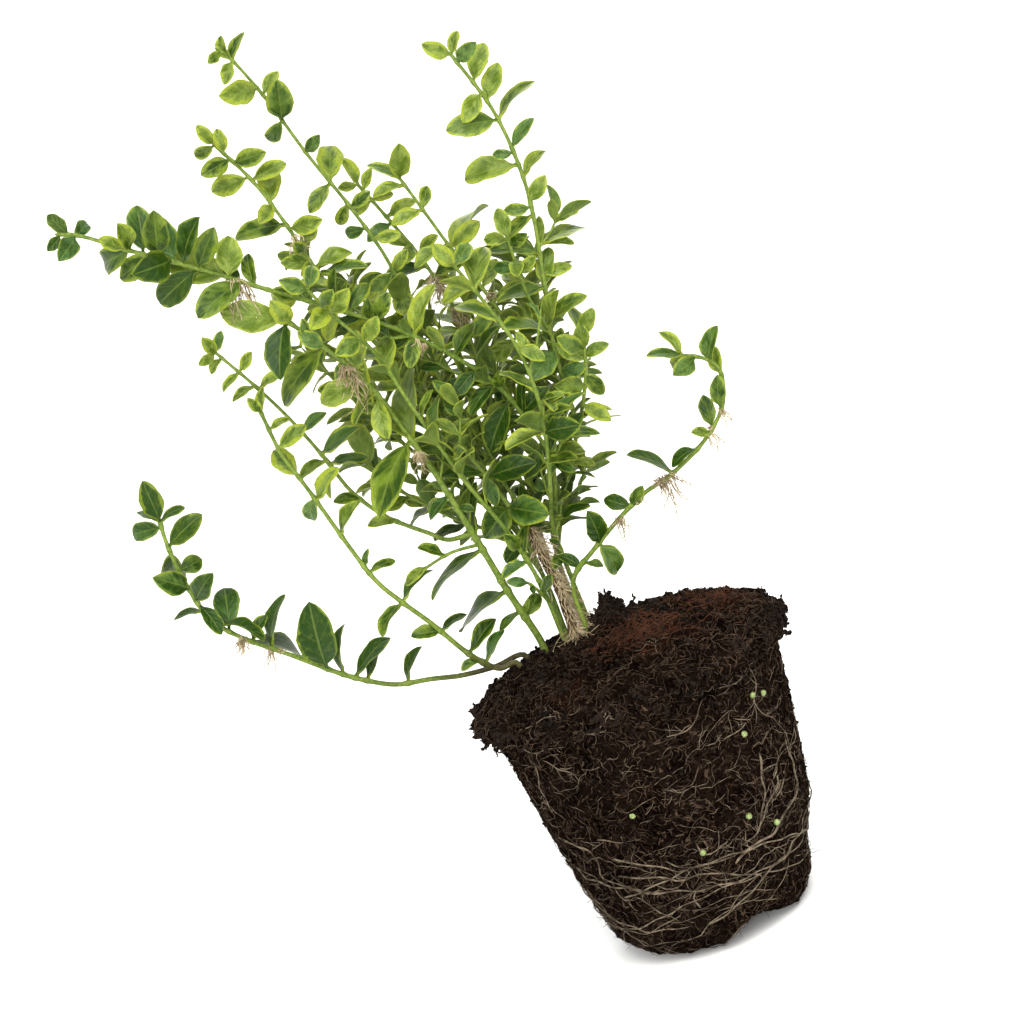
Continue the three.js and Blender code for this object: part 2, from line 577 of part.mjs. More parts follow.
function bladeSamples(blade, owner) {
  const samples = [];
  const rows = Math.ceil(blade.length / SAMPLE_STEP);
  for (let row = 1; row <= rows; row += 1) {
    const along = row / rows;
    const half = 0.5 * blade.width * outline(along);
    const columns = Math.max(1, Math.ceil(half / SAMPLE_STEP));
    for (let column = -columns; column <= columns; column += 1) {
      const at = onBlade(blade, along, half * column / columns, 0);
      samples.push({ at, owner, nearBase: blade.length * along < OWN_BASE });
    }
  }
  return samples;
}

// The section is a shallow triangle: two edges and a rib below
function bladeSolid(blade) {
  const rows = blade.length < FULL_LENGTH ? SHORT_ROWS : FULL_ROWS;
  const steps = rows.length - 1;
  return moved(new THREE.ConeGeometry(1, 1, 3, steps), (vertex) => {
    const row = Math.round((vertex.y + 0.5) * steps);
    const [along, spread] = rows[row];
    const width = row === 0 ? blade.petiole : 0.5 * blade.width * spread;
    const depth = row === 0 ? blade.petiole / (BLADE_EDGE_LIFT + BLADE_RIB_DROP) : Math.sign(steps - row);
    const corner = Math.sign(Math.round(9 * vertex.x));
    const lift = corner === 0 ? -BLADE_RIB_DROP : BLADE_EDGE_LIFT;
    const onAxis = Math.hypot(vertex.x, vertex.z) < 1e-6;
    return onBlade(blade, along, -corner * width, onAxis ? 0 : lift * depth);
  });
}

// A leaf read from the front: its base and tip as seen, and how wide it looks. A leaf that looks too
// wide for its length points partly at the viewer or away; one that looks narrow is turned on edge.
function seenBlade(line, [baseAcross, baseUp, tipAcross, tipUp, width], number) {
  const level = nearestOn(line, seen([baseAcross, baseUp, line.points.at(-1).y]));
  const base = level.point;
  const tip = seen([tipAcross, tipUp, base.y]);
  const flat = tip.distanceTo(base);
  const hidden = Math.max(4 * width * width - flat * flat, Math.pow(0.22 * flat, 2));
  const turned = Math.sqrt(hidden) * (number % 2 === 0 ? -1 : 1);
  const petiole = PETIOLE_SHARE * line.radii[level.row];
  const offsets = [0, -2 * turned / flat, 0.35, -0.35, 0.65, -0.65, 0.95, -0.95];
  return offsets.map((offset) => {
    const sight = tip.clone().sub(EYE).normalize();
    const end = tip.clone().addScaledVector(sight, turned + offset * flat);
    const length = end.distanceTo(base);
    const axis = end.clone().sub(base).normalize();
    return { base, axis, length, petiole, ...turnedSide(axis, sight, length, width) };
  });
}

function turnedSide(axis, sight, length, width) {
  const trueWidth = Math.max(BLADE_ASPECT * length, width);
  const shown = Math.min(1, width / trueWidth);
  const open = axis.clone().cross(sight).normalize();
  const deep = axis.clone().cross(open).normalize();
  const roll = Math.sqrt(1 - shown * shown);
  const choices = [roll, -roll].map((lean) => {
    const side = open.clone().multiplyScalar(shown).addScaledVector(deep, lean).normalize();
    const face = side.clone().cross(axis);
    return face.dot(sight) > 0 ? side.negate() : side;
  });
  const [first, second] = choices.map((side) => side.clone().cross(axis).z);
  return { side: first >= second ? choices[0] : choices[1], width: trueWidth };
}

// Leaves by rule stand in pairs, each pair turned a quarter round the stem from the last, and turn
// their faces up to the light
function ruleBlades(line, [lowest, highest]) {
  const places = [];
  let travelled = draw(0, 6);
  let quarter = Math.PI / 4;
  for (let row = 0; row < line.points.length - 1; row += 1) {
    const start = line.points[row];
    const run = line.points[row + 1].clone().sub(start);
    const length = run.length();
    while (travelled < length) {
      const point = start.clone().addScaledVector(run, travelled / length);
      const up = point.dot(UPWARD);
      if (up > lowest && up < highest) {
        places.push({ point, row, quarter });
      }
      quarter += Math.PI / 2;
      travelled += PAIR_SPACING * draw(0.85, 1.15);
    }
    travelled -= length;
  }
  return places.flatMap((place) => [0, Math.PI].map((half) => ruleBlade(line, place, half)));
}

function ruleBlade(line, place, half) {
  const { tangent, normal, binormal } = line.frames[place.row];
  const length = RULE_LEAF_LENGTH * draw(0.78, 1.15);
  const spread = draw(0.75, 1.15);
  const sway = draw(-0.45, 0.45);
  const petiole = PETIOLE_SHARE * line.radii[place.row];
  const tries = [[0, 1], [0.4, 1], [-0.4, 1], [0.8, 1], [-0.8, 1], [0, 0.75], [0.5, 0.75],
    [-0.5, 0.75], [1.2, 0.75], [-1.2, 0.75]];
  return tries.map(([swing, size]) => {
    const turn = place.quarter + half + swing;
    const out = normal.clone().multiplyScalar(Math.cos(turn)).addScaledVector(binormal, Math.sin(turn));
    const axis = tangent.clone().multiplyScalar(Math.cos(spread))
      .addScaledVector(out, Math.sin(spread)).normalize();
    const level = new THREE.Vector3(axis.y, -axis.x, 0).normalize();
    const side = level.applyAxisAngle(axis, sway);
    return {
      base: place.point, axis, side, petiole,
      length: length * size, width: length * size * BLADE_ASPECT,
    };
  });
}

// Aerial rootlets: slim three-sided spikes that stand out and droop from the stem, on its open
// front side
function rootlets(line, [across, up, count, reach]) {
  const level = nearestOn(line, seen([across, up, line.points.at(-1).y]));
  const { tangent } = line.frames[level.row];
  const spikes = [];
  for (let i = 0; i < count; i += 1) {
    const out = new THREE.Vector3(draw(-1, 1), draw(-1, 1), draw(-1, 0.5)).cross(tangent).normalize();
    out.y = -Math.abs(out.y);
    const length = reach * draw(0.7, 1.2);
    const start = level.point.clone().addScaledVector(tangent, draw(-3, 3));
    const end = start.clone().addScaledVector(out, 0.85 * length);
    end.z -= 0.4 * length;
    spikes.push([start, end]);
  }
  return spikes;
}

function spike([start, end]) {
  const along = end.clone().sub(start);
  const cone = new THREE.ConeGeometry(ROOTLET_RADIUS, along.length(), 3);
  cone.translate(0, along.length() / 2, 0);
  const upright = new THREE.Vector3(0, 1, 0);
  cone.applyQuaternion(new THREE.Quaternion().setFromUnitVectors(upright, along.normalize()));
  cone.translate(start.x, start.y, start.z);
  return solid(cone);
}

// Putting the plant together

const plants = [...shoots, oldStem];

// The soil's height over a point, from the crown's profile
function soilHeight(x, y) {
  const reach = Math.hypot(x, y);
  const rows = ballProfile.filter(([radius, z]) => radius !== null && z >= LIP_HEIGHT).reverse();
  const outer = rows.findIndex(([radius]) => radius > reach);
  const [r0, z0] = rows[outer - 1];
  const [r1, z1] = rows[outer];
  const dome = z0 + (z1 - z0) * (reach - r0) / (r1 - r0);
  return dome + moundHeight(x, y);
}

for (const plan of plants) {
  const [x, y] = plan.hole;
  const foot = [new THREE.Vector3(x, y, HOLE_BOTTOM + 0.4), new THREE.Vector3(x, y, soilHeight(x, y) + 2)];
  plan.lines = [{ ...plan, line: stemLine(plan, foot) }];
  for (const twig of plan.twigs ?? []) {
    plan.lines.push({ ...twig, line: stemLine(twig, []) });
  }
  plan.lines.forEach(({ line }) => keep(lineSamples(line, plan.name)));
  plan.blades = [];
}

function settle(plan, choices) {
  const smaller = choices.map((blade) => ({
    ...blade, length: 0.72 * blade.length, width: 0.72 * blade.width,
  }));
  const blade = [...choices, ...smaller].find((one) => isClear(bladeSamples(one, plan.name)));
  if (blade) {
    keep(bladeSamples(blade, plan.name));
    plan.blades.push(blade);
  }
}

for (const plan of plants) {
  for (const { line, leaves } of plan.lines) {
    leaves.forEach((leaf, number) => settle(plan, seenBlade(line, leaf, number)));
  }
}
for (const plan of plants.filter(({ fill }) => fill)) {
  ruleBlades(plan.lines[0].line, plan.fill).forEach((choices) => settle(plan, choices));
}

function growth(plan) {
  const parts = [];
  for (const { line, tufts } of plan.lines) {
    parts.push(tube(line.points, line.radii, STEM_SIDES));
    for (const tuft of tufts) {
      rootlets(line, tuft).forEach((ends) => parts.push(spike(ends)));
    }
  }
  plan.blades.forEach((blade) => parts.push(bladeSolid(blade)));
  return joined(parts);
}

// The ball, with a plain hole for each stem and a socket for each bead
const beads = [[28.6, 70], [36.6, 81], [20, 41], [-0.5, 36], [29, 33], [-19, 58], [41, 79]];

function beadPlace([across, up]) {
  const z = up / Math.cos(ELEVATION) + 6;
  const reach = wallRadius(-Math.PI / 2, z);
  return wallPoint(-Math.acos(across / reach), z, 0.35);
}

function ball() {
  const rows = ballProfile.length - 1;
  const sphere = new THREE.SphereGeometry(1, BALL_SEGMENTS, rows);
  const form = moved(sphere, (vertex) => {
    const row = Math.round(Math.acos(THREE.MathUtils.clamp(-vertex.y, -1, 1)) / Math.PI * rows);
    const turn = Math.atan2(-vertex.z, vertex.x);
    return undercut(ballPoint(row === 0 || row === rows ? 0 : turn, row));
  });
  const holes = plants.map(({ hole: [x, y], thick: [radius] }) => {
    const height = 50;
    const wide = radius + HOLE_CLEARANCE / Math.cos(Math.PI / HOLE_SIDES);
    const cutter = new THREE.CylinderGeometry(wide, wide, height, HOLE_SIDES);
    cutter.rotateX(Math.PI / 2).translate(x, y, HOLE_BOTTOM + height / 2);
    return solid(cutter);
  });
  const sockets = beads.map((bead) => {
    const at = beadPlace(bead);
    return solid(new THREE.IcosahedronGeometry(BEAD_SOCKET_RADIUS, 0).translate(at.x, at.y, at.z));
  });
  return form.subtract(joined([...holes, ...sockets]));
}

// Roots that have gone round and round the pot, as one net over the foot of the wall. Each is
// [start turn, end turn, height at start, height at end, sway, waves], with turns in degrees.
const circlingRoots = [
  [0, 360, 22, 22, 4.5, 3], [-160, 30, 44, 30, -12, 0.5], [-100, 20, 14, 42, 0, 1],
  [-135, 148, 32, 25, 7, 1.5], [150, 250, 38, 16, 4, 1],
];

function rootNet() {
  const strands = circlingRoots.map(([from, to, low, high, sway, waves], layer) => {
    const proud = ROOT_RADIUS + ROOT_GAP + ROOT_LAYER * (layer % 3);
    const steps = Math.ceil(Math.abs(to - from) / ROOT_STEP_DEGREES);
    const points = [];
    for (let i = 0; i <= steps; i += 1) {
      const along = i / steps;
      const z = low + (high - low) * along + sway * Math.sin(2 * Math.PI * waves * along);
      const turn = THREE.MathUtils.degToRad(from + (to - from) * along);
      points.push(wallPoint(turn, z, proud));
    }
    return tube(points, points.map(() => ROOT_RADIUS), ROOT_SIDES);
  });
  return withoutScraps(joined(strands));
}

const plant = new THREE.Group();
plant.add(meshOf('root_ball', ball(), PEAT));
plant.add(meshOf('circling_roots', rootNet(), PALE_ROOT));
plant.add(meshOf(oldStem.name, growth(oldStem), BARK));
shoots.forEach((plan) => plant.add(meshOf(plan.name, growth(plan), GREEN)));
beads.forEach((bead, i) => {
  const body = solid(new THREE.IcosahedronGeometry(BEAD_RADIUS, 0));
  const mesh = meshOf(`feed_bead_${i + 1}`, body, FEED);
  mesh.position.copy(beadPlace(bead));
  plant.add(mesh);
});

export default plant;
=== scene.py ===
# %% [markdown]
# A young variegated wintercreeper, out of its pot
#
# The plant is a pot-shaped ball of peat held together by roots, an old woody stem in a shag of
# rootlets, and some twenty long shoots with leaves in pairs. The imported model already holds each
# shoot as a plain solid. This script dresses those solids: the same stems and leaves get smooth
# sections, veins and golden margins, and the ball gets its crumbs, fibres and roots.

import itertools
import math
import random

import bmesh
import bpy
from mathutils import Matrix, Vector, noise


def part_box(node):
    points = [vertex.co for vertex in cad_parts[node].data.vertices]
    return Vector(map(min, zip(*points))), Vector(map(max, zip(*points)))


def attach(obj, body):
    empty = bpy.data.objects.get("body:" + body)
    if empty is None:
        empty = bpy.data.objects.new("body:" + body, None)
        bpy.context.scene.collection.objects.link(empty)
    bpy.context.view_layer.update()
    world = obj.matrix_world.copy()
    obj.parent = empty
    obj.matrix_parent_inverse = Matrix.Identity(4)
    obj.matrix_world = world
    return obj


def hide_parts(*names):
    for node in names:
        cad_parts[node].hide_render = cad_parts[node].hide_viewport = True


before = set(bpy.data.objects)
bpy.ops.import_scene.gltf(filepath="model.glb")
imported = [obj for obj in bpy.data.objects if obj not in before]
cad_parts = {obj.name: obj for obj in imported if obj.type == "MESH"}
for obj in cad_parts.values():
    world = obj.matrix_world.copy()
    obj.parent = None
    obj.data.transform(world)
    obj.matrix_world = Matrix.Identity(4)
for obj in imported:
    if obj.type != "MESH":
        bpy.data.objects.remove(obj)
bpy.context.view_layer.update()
print("nodes in the frame:", len(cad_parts))

# %% [markdown]
# The camera stands 8 degrees above level and 0.8 m away. The plant was photographed leaning, so
# the camera is rolled by the same 21.5 degrees instead of tipping the plant, which stands upright
# on the flat foot of its ball. A rolled camera is one matrix: its three columns are the camera's
# right, its up and the way back towards the viewer.

# %% Camera
MM = 0.001
ELEVATION = math.radians(8)
LEAN = math.radians(21.5)
EYE_DISTANCE = 800.0
AIM_ACROSS, AIM_UP = -19.4, 174.0
PICTURE_WIDTH = 394.24
SENSOR_WIDTH = 36


def put_in_scene(name, data):
    made = bpy.data.objects.new(name, data)
    bpy.context.scene.collection.objects.link(made)
    return made


right = Vector((1, 0, 0))
upward = Vector((0, math.sin(ELEVATION), math.cos(ELEVATION)))
away = Vector((0, math.cos(ELEVATION), -math.sin(ELEVATION)))
eye_point = (right * AIM_ACROSS + upward * AIM_UP - away * EYE_DISTANCE) * MM
camera_right = right * math.cos(LEAN) - upward * math.sin(LEAN)
camera_up = right * math.sin(LEAN) + upward * math.cos(LEAN)

camera_data = bpy.data.cameras.new("camera")
camera_data.sensor_width = SENSOR_WIDTH
camera_data.lens = SENSOR_WIDTH * EYE_DISTANCE / PICTURE_WIDTH
camera = put_in_scene("camera", camera_data)
placed = Matrix.Identity(4)
for column, way in enumerate((camera_right, camera_up, -away, eye_point)):
    for row in range(3):
        placed[row][column] = way[row]
camera.matrix_world = placed
bpy.context.scene.camera = camera
print("camera at", [round(value, 3) for value in eye_point], "lens", round(camera_data.lens, 2))

# %% [markdown]
# All colour here is procedural: a net of small nodes for each material. A class with short calls
# keeps those nets readable. Each call adds one node and gives back the socket that comes out.

# %% Node nets
class Net:
    def __init__(self, tree):
        self.tree = tree

    def feed(self, node, inputs):
        for socket, value in inputs.items():
            if isinstance(value, bpy.types.NodeSocket):
                self.tree.links.new(value, node.inputs[socket])
            else:
                node.inputs[socket].default_value = value
        return node

    def add(self, kind, inputs=None, **settings):
        made = self.tree.nodes.new("ShaderNode" + kind)
        for name, value in settings.items():
            setattr(made, name, value)
        return self.feed(made, inputs or {}).outputs

    def math(self, operation, *values):
        return self.add("Math", dict(enumerate(values)), operation=operation)[0]

    def times(self, value, factor):
        return self.math("MULTIPLY", value, factor)

    def times_plus(self, value, factor, more):
        return self.math("MULTIPLY_ADD", value, factor, more)

    def vector(self, operation, first, second=(0, 0, 0)):
        return self.add("VectorMath", {0: first, 1: second}, operation=operation)

    def ramp(self, value, low, high):
        inputs = {"Value": value, "From Min": low, "From Max": high}
        return self.add("MapRange", inputs, interpolation_type="SMOOTHSTEP")[0]

    def blend(self, share, first, second):
        return self.add("Mix", {0: share, 6: first, 7: second}, data_type="RGBA")[2]

    def noise(self, vector, scale, detail=2.0, roughness=0.5):
        inputs = {"Vector": vector, "Scale": scale, "Detail": detail, "Roughness": roughness}
        return self.add("TexNoise", inputs)["Fac"]

    def bump(self, height, distance, strength=0.8):
        inputs = {"Height": height, "Distance": distance, "Strength": strength}
        return self.add("Bump", inputs)["Normal"]

    def place(self):
        return self.add("TexCoord")["Object"]

    def grain(self, vector, dark, light, grain, patch):
        inputs = {"Vector": vector, "Dark": opaque(*dark), "Light": opaque(*light),
                  "Grain": grain, "Patch": patch}
        return self.add("Group", inputs, node_tree=grain_group)


def opaque(red, green, blue):
    return (red, green, blue, 1.0)


def new_material(name, roughness, specular=0.5):
    made = bpy.data.materials.new(name)
    made.use_nodes = True
    net = Net(made.node_tree)
    shader = made.node_tree.nodes["Principled BSDF"]
    net.feed(shader, {"Roughness": roughness, "Specular IOR Level": specular})
    return made, net, shader


def mesh_from(bm, name, smooth=False):
    for face in bm.faces if smooth else ():
        face.smooth = True
    mesh = bpy.data.meshes.new(name)
    bm.to_mesh(mesh)
    bm.free()
    return mesh


# %% [markdown]
# The studio is a wide pale bowl: a floor that curves up into a wall on all sides. A flat floor
# would show its far edge as a slanting line, because the camera is rolled. A bowl has no edge in
# view from any side. It is one profile, drawn as a few vertices and spun once round.

# %% Studio bowl
FLOOR_RADIUS = 1.6
BOWL_CURVE = 1.3
BOWL_STEPS = 16
BOWL_RISE = math.radians(88)

floor_material, net, shader = new_material("pale_floor", 0.9, 0.1)
net.feed(shader, {"Base Color": opaque(0.93, 0.93, 0.92)})

bm = bmesh.new()
rim = [bm.verts.new((0, 0, 0)), bm.verts.new((FLOOR_RADIUS, 0, 0))]
for step in range(1, BOWL_STEPS + 1):
    turn = BOWL_RISE * step / BOWL_STEPS
    reach = FLOOR_RADIUS + BOWL_CURVE * math.sin(turn)
    rim.append(bm.verts.new((reach, 0, BOWL_CURVE * (1 - math.cos(turn)))))
edges = [bm.edges.new(pair) for pair in zip(rim, rim[1:])]
bmesh.ops.spin(bm, geom=rim + edges, cent=(0, 0, 0), axis=(0, 0, 1), angle=2 * math.pi,
               steps=72, use_merge=True)
bmesh.ops.remove_doubles(bm, verts=bm.verts[:], dist=1e-5)
bmesh.ops.recalc_face_normals(bm, faces=bm.faces[:])
if bm.faces[0].normal.z < 0:
    bmesh.ops.reverse_faces(bm, faces=bm.faces[:])
floor_mesh = mesh_from(bm, "studio_floor", smooth=True)
floor_mesh.materials.append(floor_material)
floor = put_in_scene("studio_floor", floor_mesh)
print("bowl faces:", len(floor_mesh.polygons))

# %% [markdown]
# The light in the photograph is soft and comes from above, so the upper leaves are bright and the
# heart of the plant is dark. A broad, soft sun makes that, because it lights the whole floor
# evenly. Two weak lamps open the shadows, and a pale sky fills the rest.

# %% Lights
MIDDLE = Vector((-0.03, 0, 0.2))
SKY_STRENGTH = 0.80


def lamp(name, kind, strength, towards, **settings):
    data = bpy.data.lights.new(name, kind)
    data.energy = strength
    for setting, value in settings.items():
        setattr(data, setting, value)
    made = put_in_scene(name, data)
    made.rotation_euler = towards.to_track_quat("Z", "Y").to_euler()
    return made


def softbox(name, place, size, power):
    made = lamp(name, "AREA", power, Vector(place) - MIDDLE, shape="DISK", size=size)
    made.location = place


lamp("key", "SUN", 3.1, Vector((0.20, -0.95, 1.25)), angle=math.radians(35),
     color=(1.0, 0.985, 0.95))
softbox("fill", (-0.10, -1.25, 0.42), 0.7, 11)
softbox("back", (0.2, 1.2, 1.1), 0.9, 8)

world = bpy.data.worlds.new("studio_sky")
world.use_nodes = True
Net(world.node_tree).feed(world.node_tree.nodes["Background"],
                          {"Color": opaque(1, 1, 1), "Strength": SKY_STRENGTH})
bpy.context.scene.world = world
bpy.context.scene.view_settings.view_transform = "Standard"

# %% [markdown]
# Several finishes here are a colour that shifts from grain to grain: peat, bark, roots, stems.
# The shift is one node group. It takes two colours and a grain size and gives back a colour and
# a height, and each material sets its own values.

# %% Shared grain
def build_grain():
    group = bpy.data.node_groups.new("natural_grain", "ShaderNodeTree")
    face = group.interface
    for name, kind in (("Vector", "NodeSocketVector"), ("Dark", "NodeSocketColor"),
                       ("Light", "NodeSocketColor"), ("Grain", "NodeSocketFloat"),
                       ("Patch", "NodeSocketFloat")):
        face.new_socket(name, in_out="INPUT", socket_type=kind)
    face.new_socket("Color", in_out="OUTPUT", socket_type="NodeSocketColor")
    face.new_socket("Height", in_out="OUTPUT", socket_type="NodeSocketFloat")
    net = Net(group)
    given = group.nodes.new("NodeGroupInput").outputs
    grain = net.noise(given["Vector"], given["Grain"], 3.0, 0.65)
    patch = net.noise(given["Vector"], given["Patch"])
    share = net.ramp(net.times_plus(grain, 0.65, net.times(patch, 0.35)), 0.36, 0.64)
    colour = net.blend(share, given["Dark"], given["Light"])
    net.feed(group.nodes.new("NodeGroupOutput"), {"Color": colour, "Height": grain})
    return group


grain_group = build_grain()


def grainy(name, dark, light, grain, patch, roughness, bump=0.0001, specular=0.08):
    made, net, shader = new_material(name, roughness, specular)
    effect = net.grain(net.place(), dark, light, grain, patch)
    net.feed(shader, {"Base Color": effect["Color"], "Normal": net.bump(effect["Height"], bump)})
    return made


rootlet_straw = grainy("rootlet_straw", (0.17, 0.125, 0.065), (0.50, 0.41, 0.25), 400, 90, 0.8)
old_bark = grainy("old_bark", (0.020, 0.012, 0.006), (0.085, 0.055, 0.030), 500, 90, 0.85, 0.0008)
dark_fibre = grainy("dark_fibre", (0.005, 0.003, 0.002), (0.026, 0.0165, 0.0105), 350, 60, 0.9)
brown_fibre = grainy("brown_fibre", (0.015, 0.010, 0.0063), (0.082, 0.053, 0.034), 350, 60, 0.85)
pale_root = grainy("pale_root", (0.033, 0.023, 0.015), (0.165, 0.130, 0.089), 350, 60, 0.75,
                   0.0002)
red_coir = grainy("red_coir", (0.011, 0.0043, 0.0023), (0.085, 0.034, 0.017), 420, 130, 0.85)
crumb_peat = grainy("crumb_peat", (0.0012, 0.0008, 0.0006), (0.019, 0.0115, 0.0076), 700, 60, 0.95,
                    0.0004)
feed_resin = grainy("feed_resin", (0.10, 0.14, 0.03), (0.27, 0.33, 0.12), 1500, 400, 0.35,
                    0.00005, 0.5)
print("grainy materials share", grain_group.name)

# %% [markdown]
# A young stem is green and smooth. Near the soil it is older, and the green goes brown. The same
# grain is used twice, once in each pair of colours, and the height above the foot blends them.

# %% Stem finish
OLD_BELOW, YOUNG_ABOVE = 0.112, 0.138
OLD_DARK, OLD_LIGHT = (0.030, 0.026, 0.009), (0.080, 0.070, 0.025)
YOUNG_DARK, YOUNG_LIGHT = (0.066, 0.112, 0.012), (0.160, 0.215, 0.034)


def build_stem_material():
    made, net, shader = new_material("stem_green", 0.5, 0.15)
    where = net.place()
    old = net.grain(where, OLD_DARK, OLD_LIGHT, 700, 60)
    young = net.grain(where, YOUNG_DARK, YOUNG_LIGHT, 700, 60)
    height = net.add("SeparateXYZ", {"Vector": where})["Z"]
    level = net.times_plus(net.noise(where, 40), 0.05, net.math("ADD", height, -0.025))
    youth = net.ramp(level, OLD_BELOW, YOUNG_ABOVE)
    net.feed(shader, {"Base Color": net.blend(youth, old["Color"], young["Color"]),
                      "Normal": net.bump(old["Height"], 0.0002)})
    return made


stem_green = build_stem_material()
print("stems turn green", OLD_BELOW, "to", YOUNG_ABOVE, "m above the foot")

# %% [markdown]
# Peat is a felt of fibres too fine to model one by one. Cells of random size fill space, and in
# each cell one thin straight slab is bright, turned its own way. Where the skin cuts such a slab,
# a short stroke shows. A noise bends the strokes, and three sets of cells overlap.

# %% Fibre felt
FELT_CELLS = (230.0, 330.0, 470.0)
STROKE_HALF = 0.00010
FELT_BEND = 0.0045


def build_felt():
    group = bpy.data.node_groups.new("fibre_felt", "ShaderNodeTree")
    group.interface.new_socket("Vector", in_out="INPUT", socket_type="NodeSocketVector")
    group.interface.new_socket("Mask", in_out="OUTPUT", socket_type="NodeSocketFloat")
    net = Net(group)
    given = group.nodes.new("NodeGroupInput").outputs["Vector"]
    bend = net.add("TexNoise", {"Vector": given, "Scale": 170, "Detail": 1})["Color"]
    bent = net.vector("ADD", given, net.vector("MULTIPLY", bend, (FELT_BEND,) * 3)[0])[0]
    felt = None
    for number, cells_per_metre in enumerate(FELT_CELLS):
        moved = net.vector("ADD", bent, (0.1 * number, 0.23 * number, 0.37 * number))[0]
        cell = net.add("TexVoronoi", {"Vector": moved, "Scale": cells_per_metre})
        facing = net.vector("SUBTRACT", cell["Color"], (0.5, 0.5, 0.5))[0]
        facing = net.vector("NORMALIZE", facing)[0]
        arm = net.vector("SUBTRACT", moved, cell["Position"])[0]
        off = net.math("ABSOLUTE", net.vector("DOT_PRODUCT", arm, facing)["Value"])
        line = net.ramp(off, 2.4 * STROKE_HALF, STROKE_HALF)
        inside = net.ramp(cell["Distance"], 0.62, 0.35)
        tone = net.add("SeparateColor", {"Color": cell["Color"]})["Green"]
        line = net.times(net.times(line, inside), net.ramp(tone, 0.15, 1.0))
        felt = net.math("MAXIMUM", felt, line) if felt else line
    net.feed(group.nodes.new("NodeGroupOutput"), {"Mask": felt})
    return group


felt_group = build_felt()
print("felt cells per metre:", FELT_CELLS)

# %% [markdown]
# The leaf is the heart of this plant: a leathery green blade with an irregular golden margin.
# Paint would need an image for each leaf. Instead each leaf carries a small map, with u running
# across it and v from base to tip, and three numbers of its own. The margin is drawn where the
# distance from the midrib, made uneven by a noise that is stretched along the side veins, passes
# a threshold, so no two margins are alike.

# %% Leaf material
LEAF_DARK = opaque(0.010, 0.034, 0.001)
LEAF_COOL, LEAF_COOL_PALE = opaque(0.034, 0.088, 0.016), opaque(0.080, 0.150, 0.045)
LEAF_WARM, LEAF_WARM_PALE = opaque(0.088, 0.138, 0.006), opaque(0.185, 0.245, 0.042)
LEAF_OLIVE, LEAF_GOLD = opaque(0.130, 0.180, 0.012), opaque(0.250, 0.300, 0.024)
LEAF_RIB = opaque(0.150, 0.200, 0.035)
LEAF_UNDER = opaque(0.100, 0.145, 0.030)
VEIN_SLANT = -0.34
VEINS = 9.0


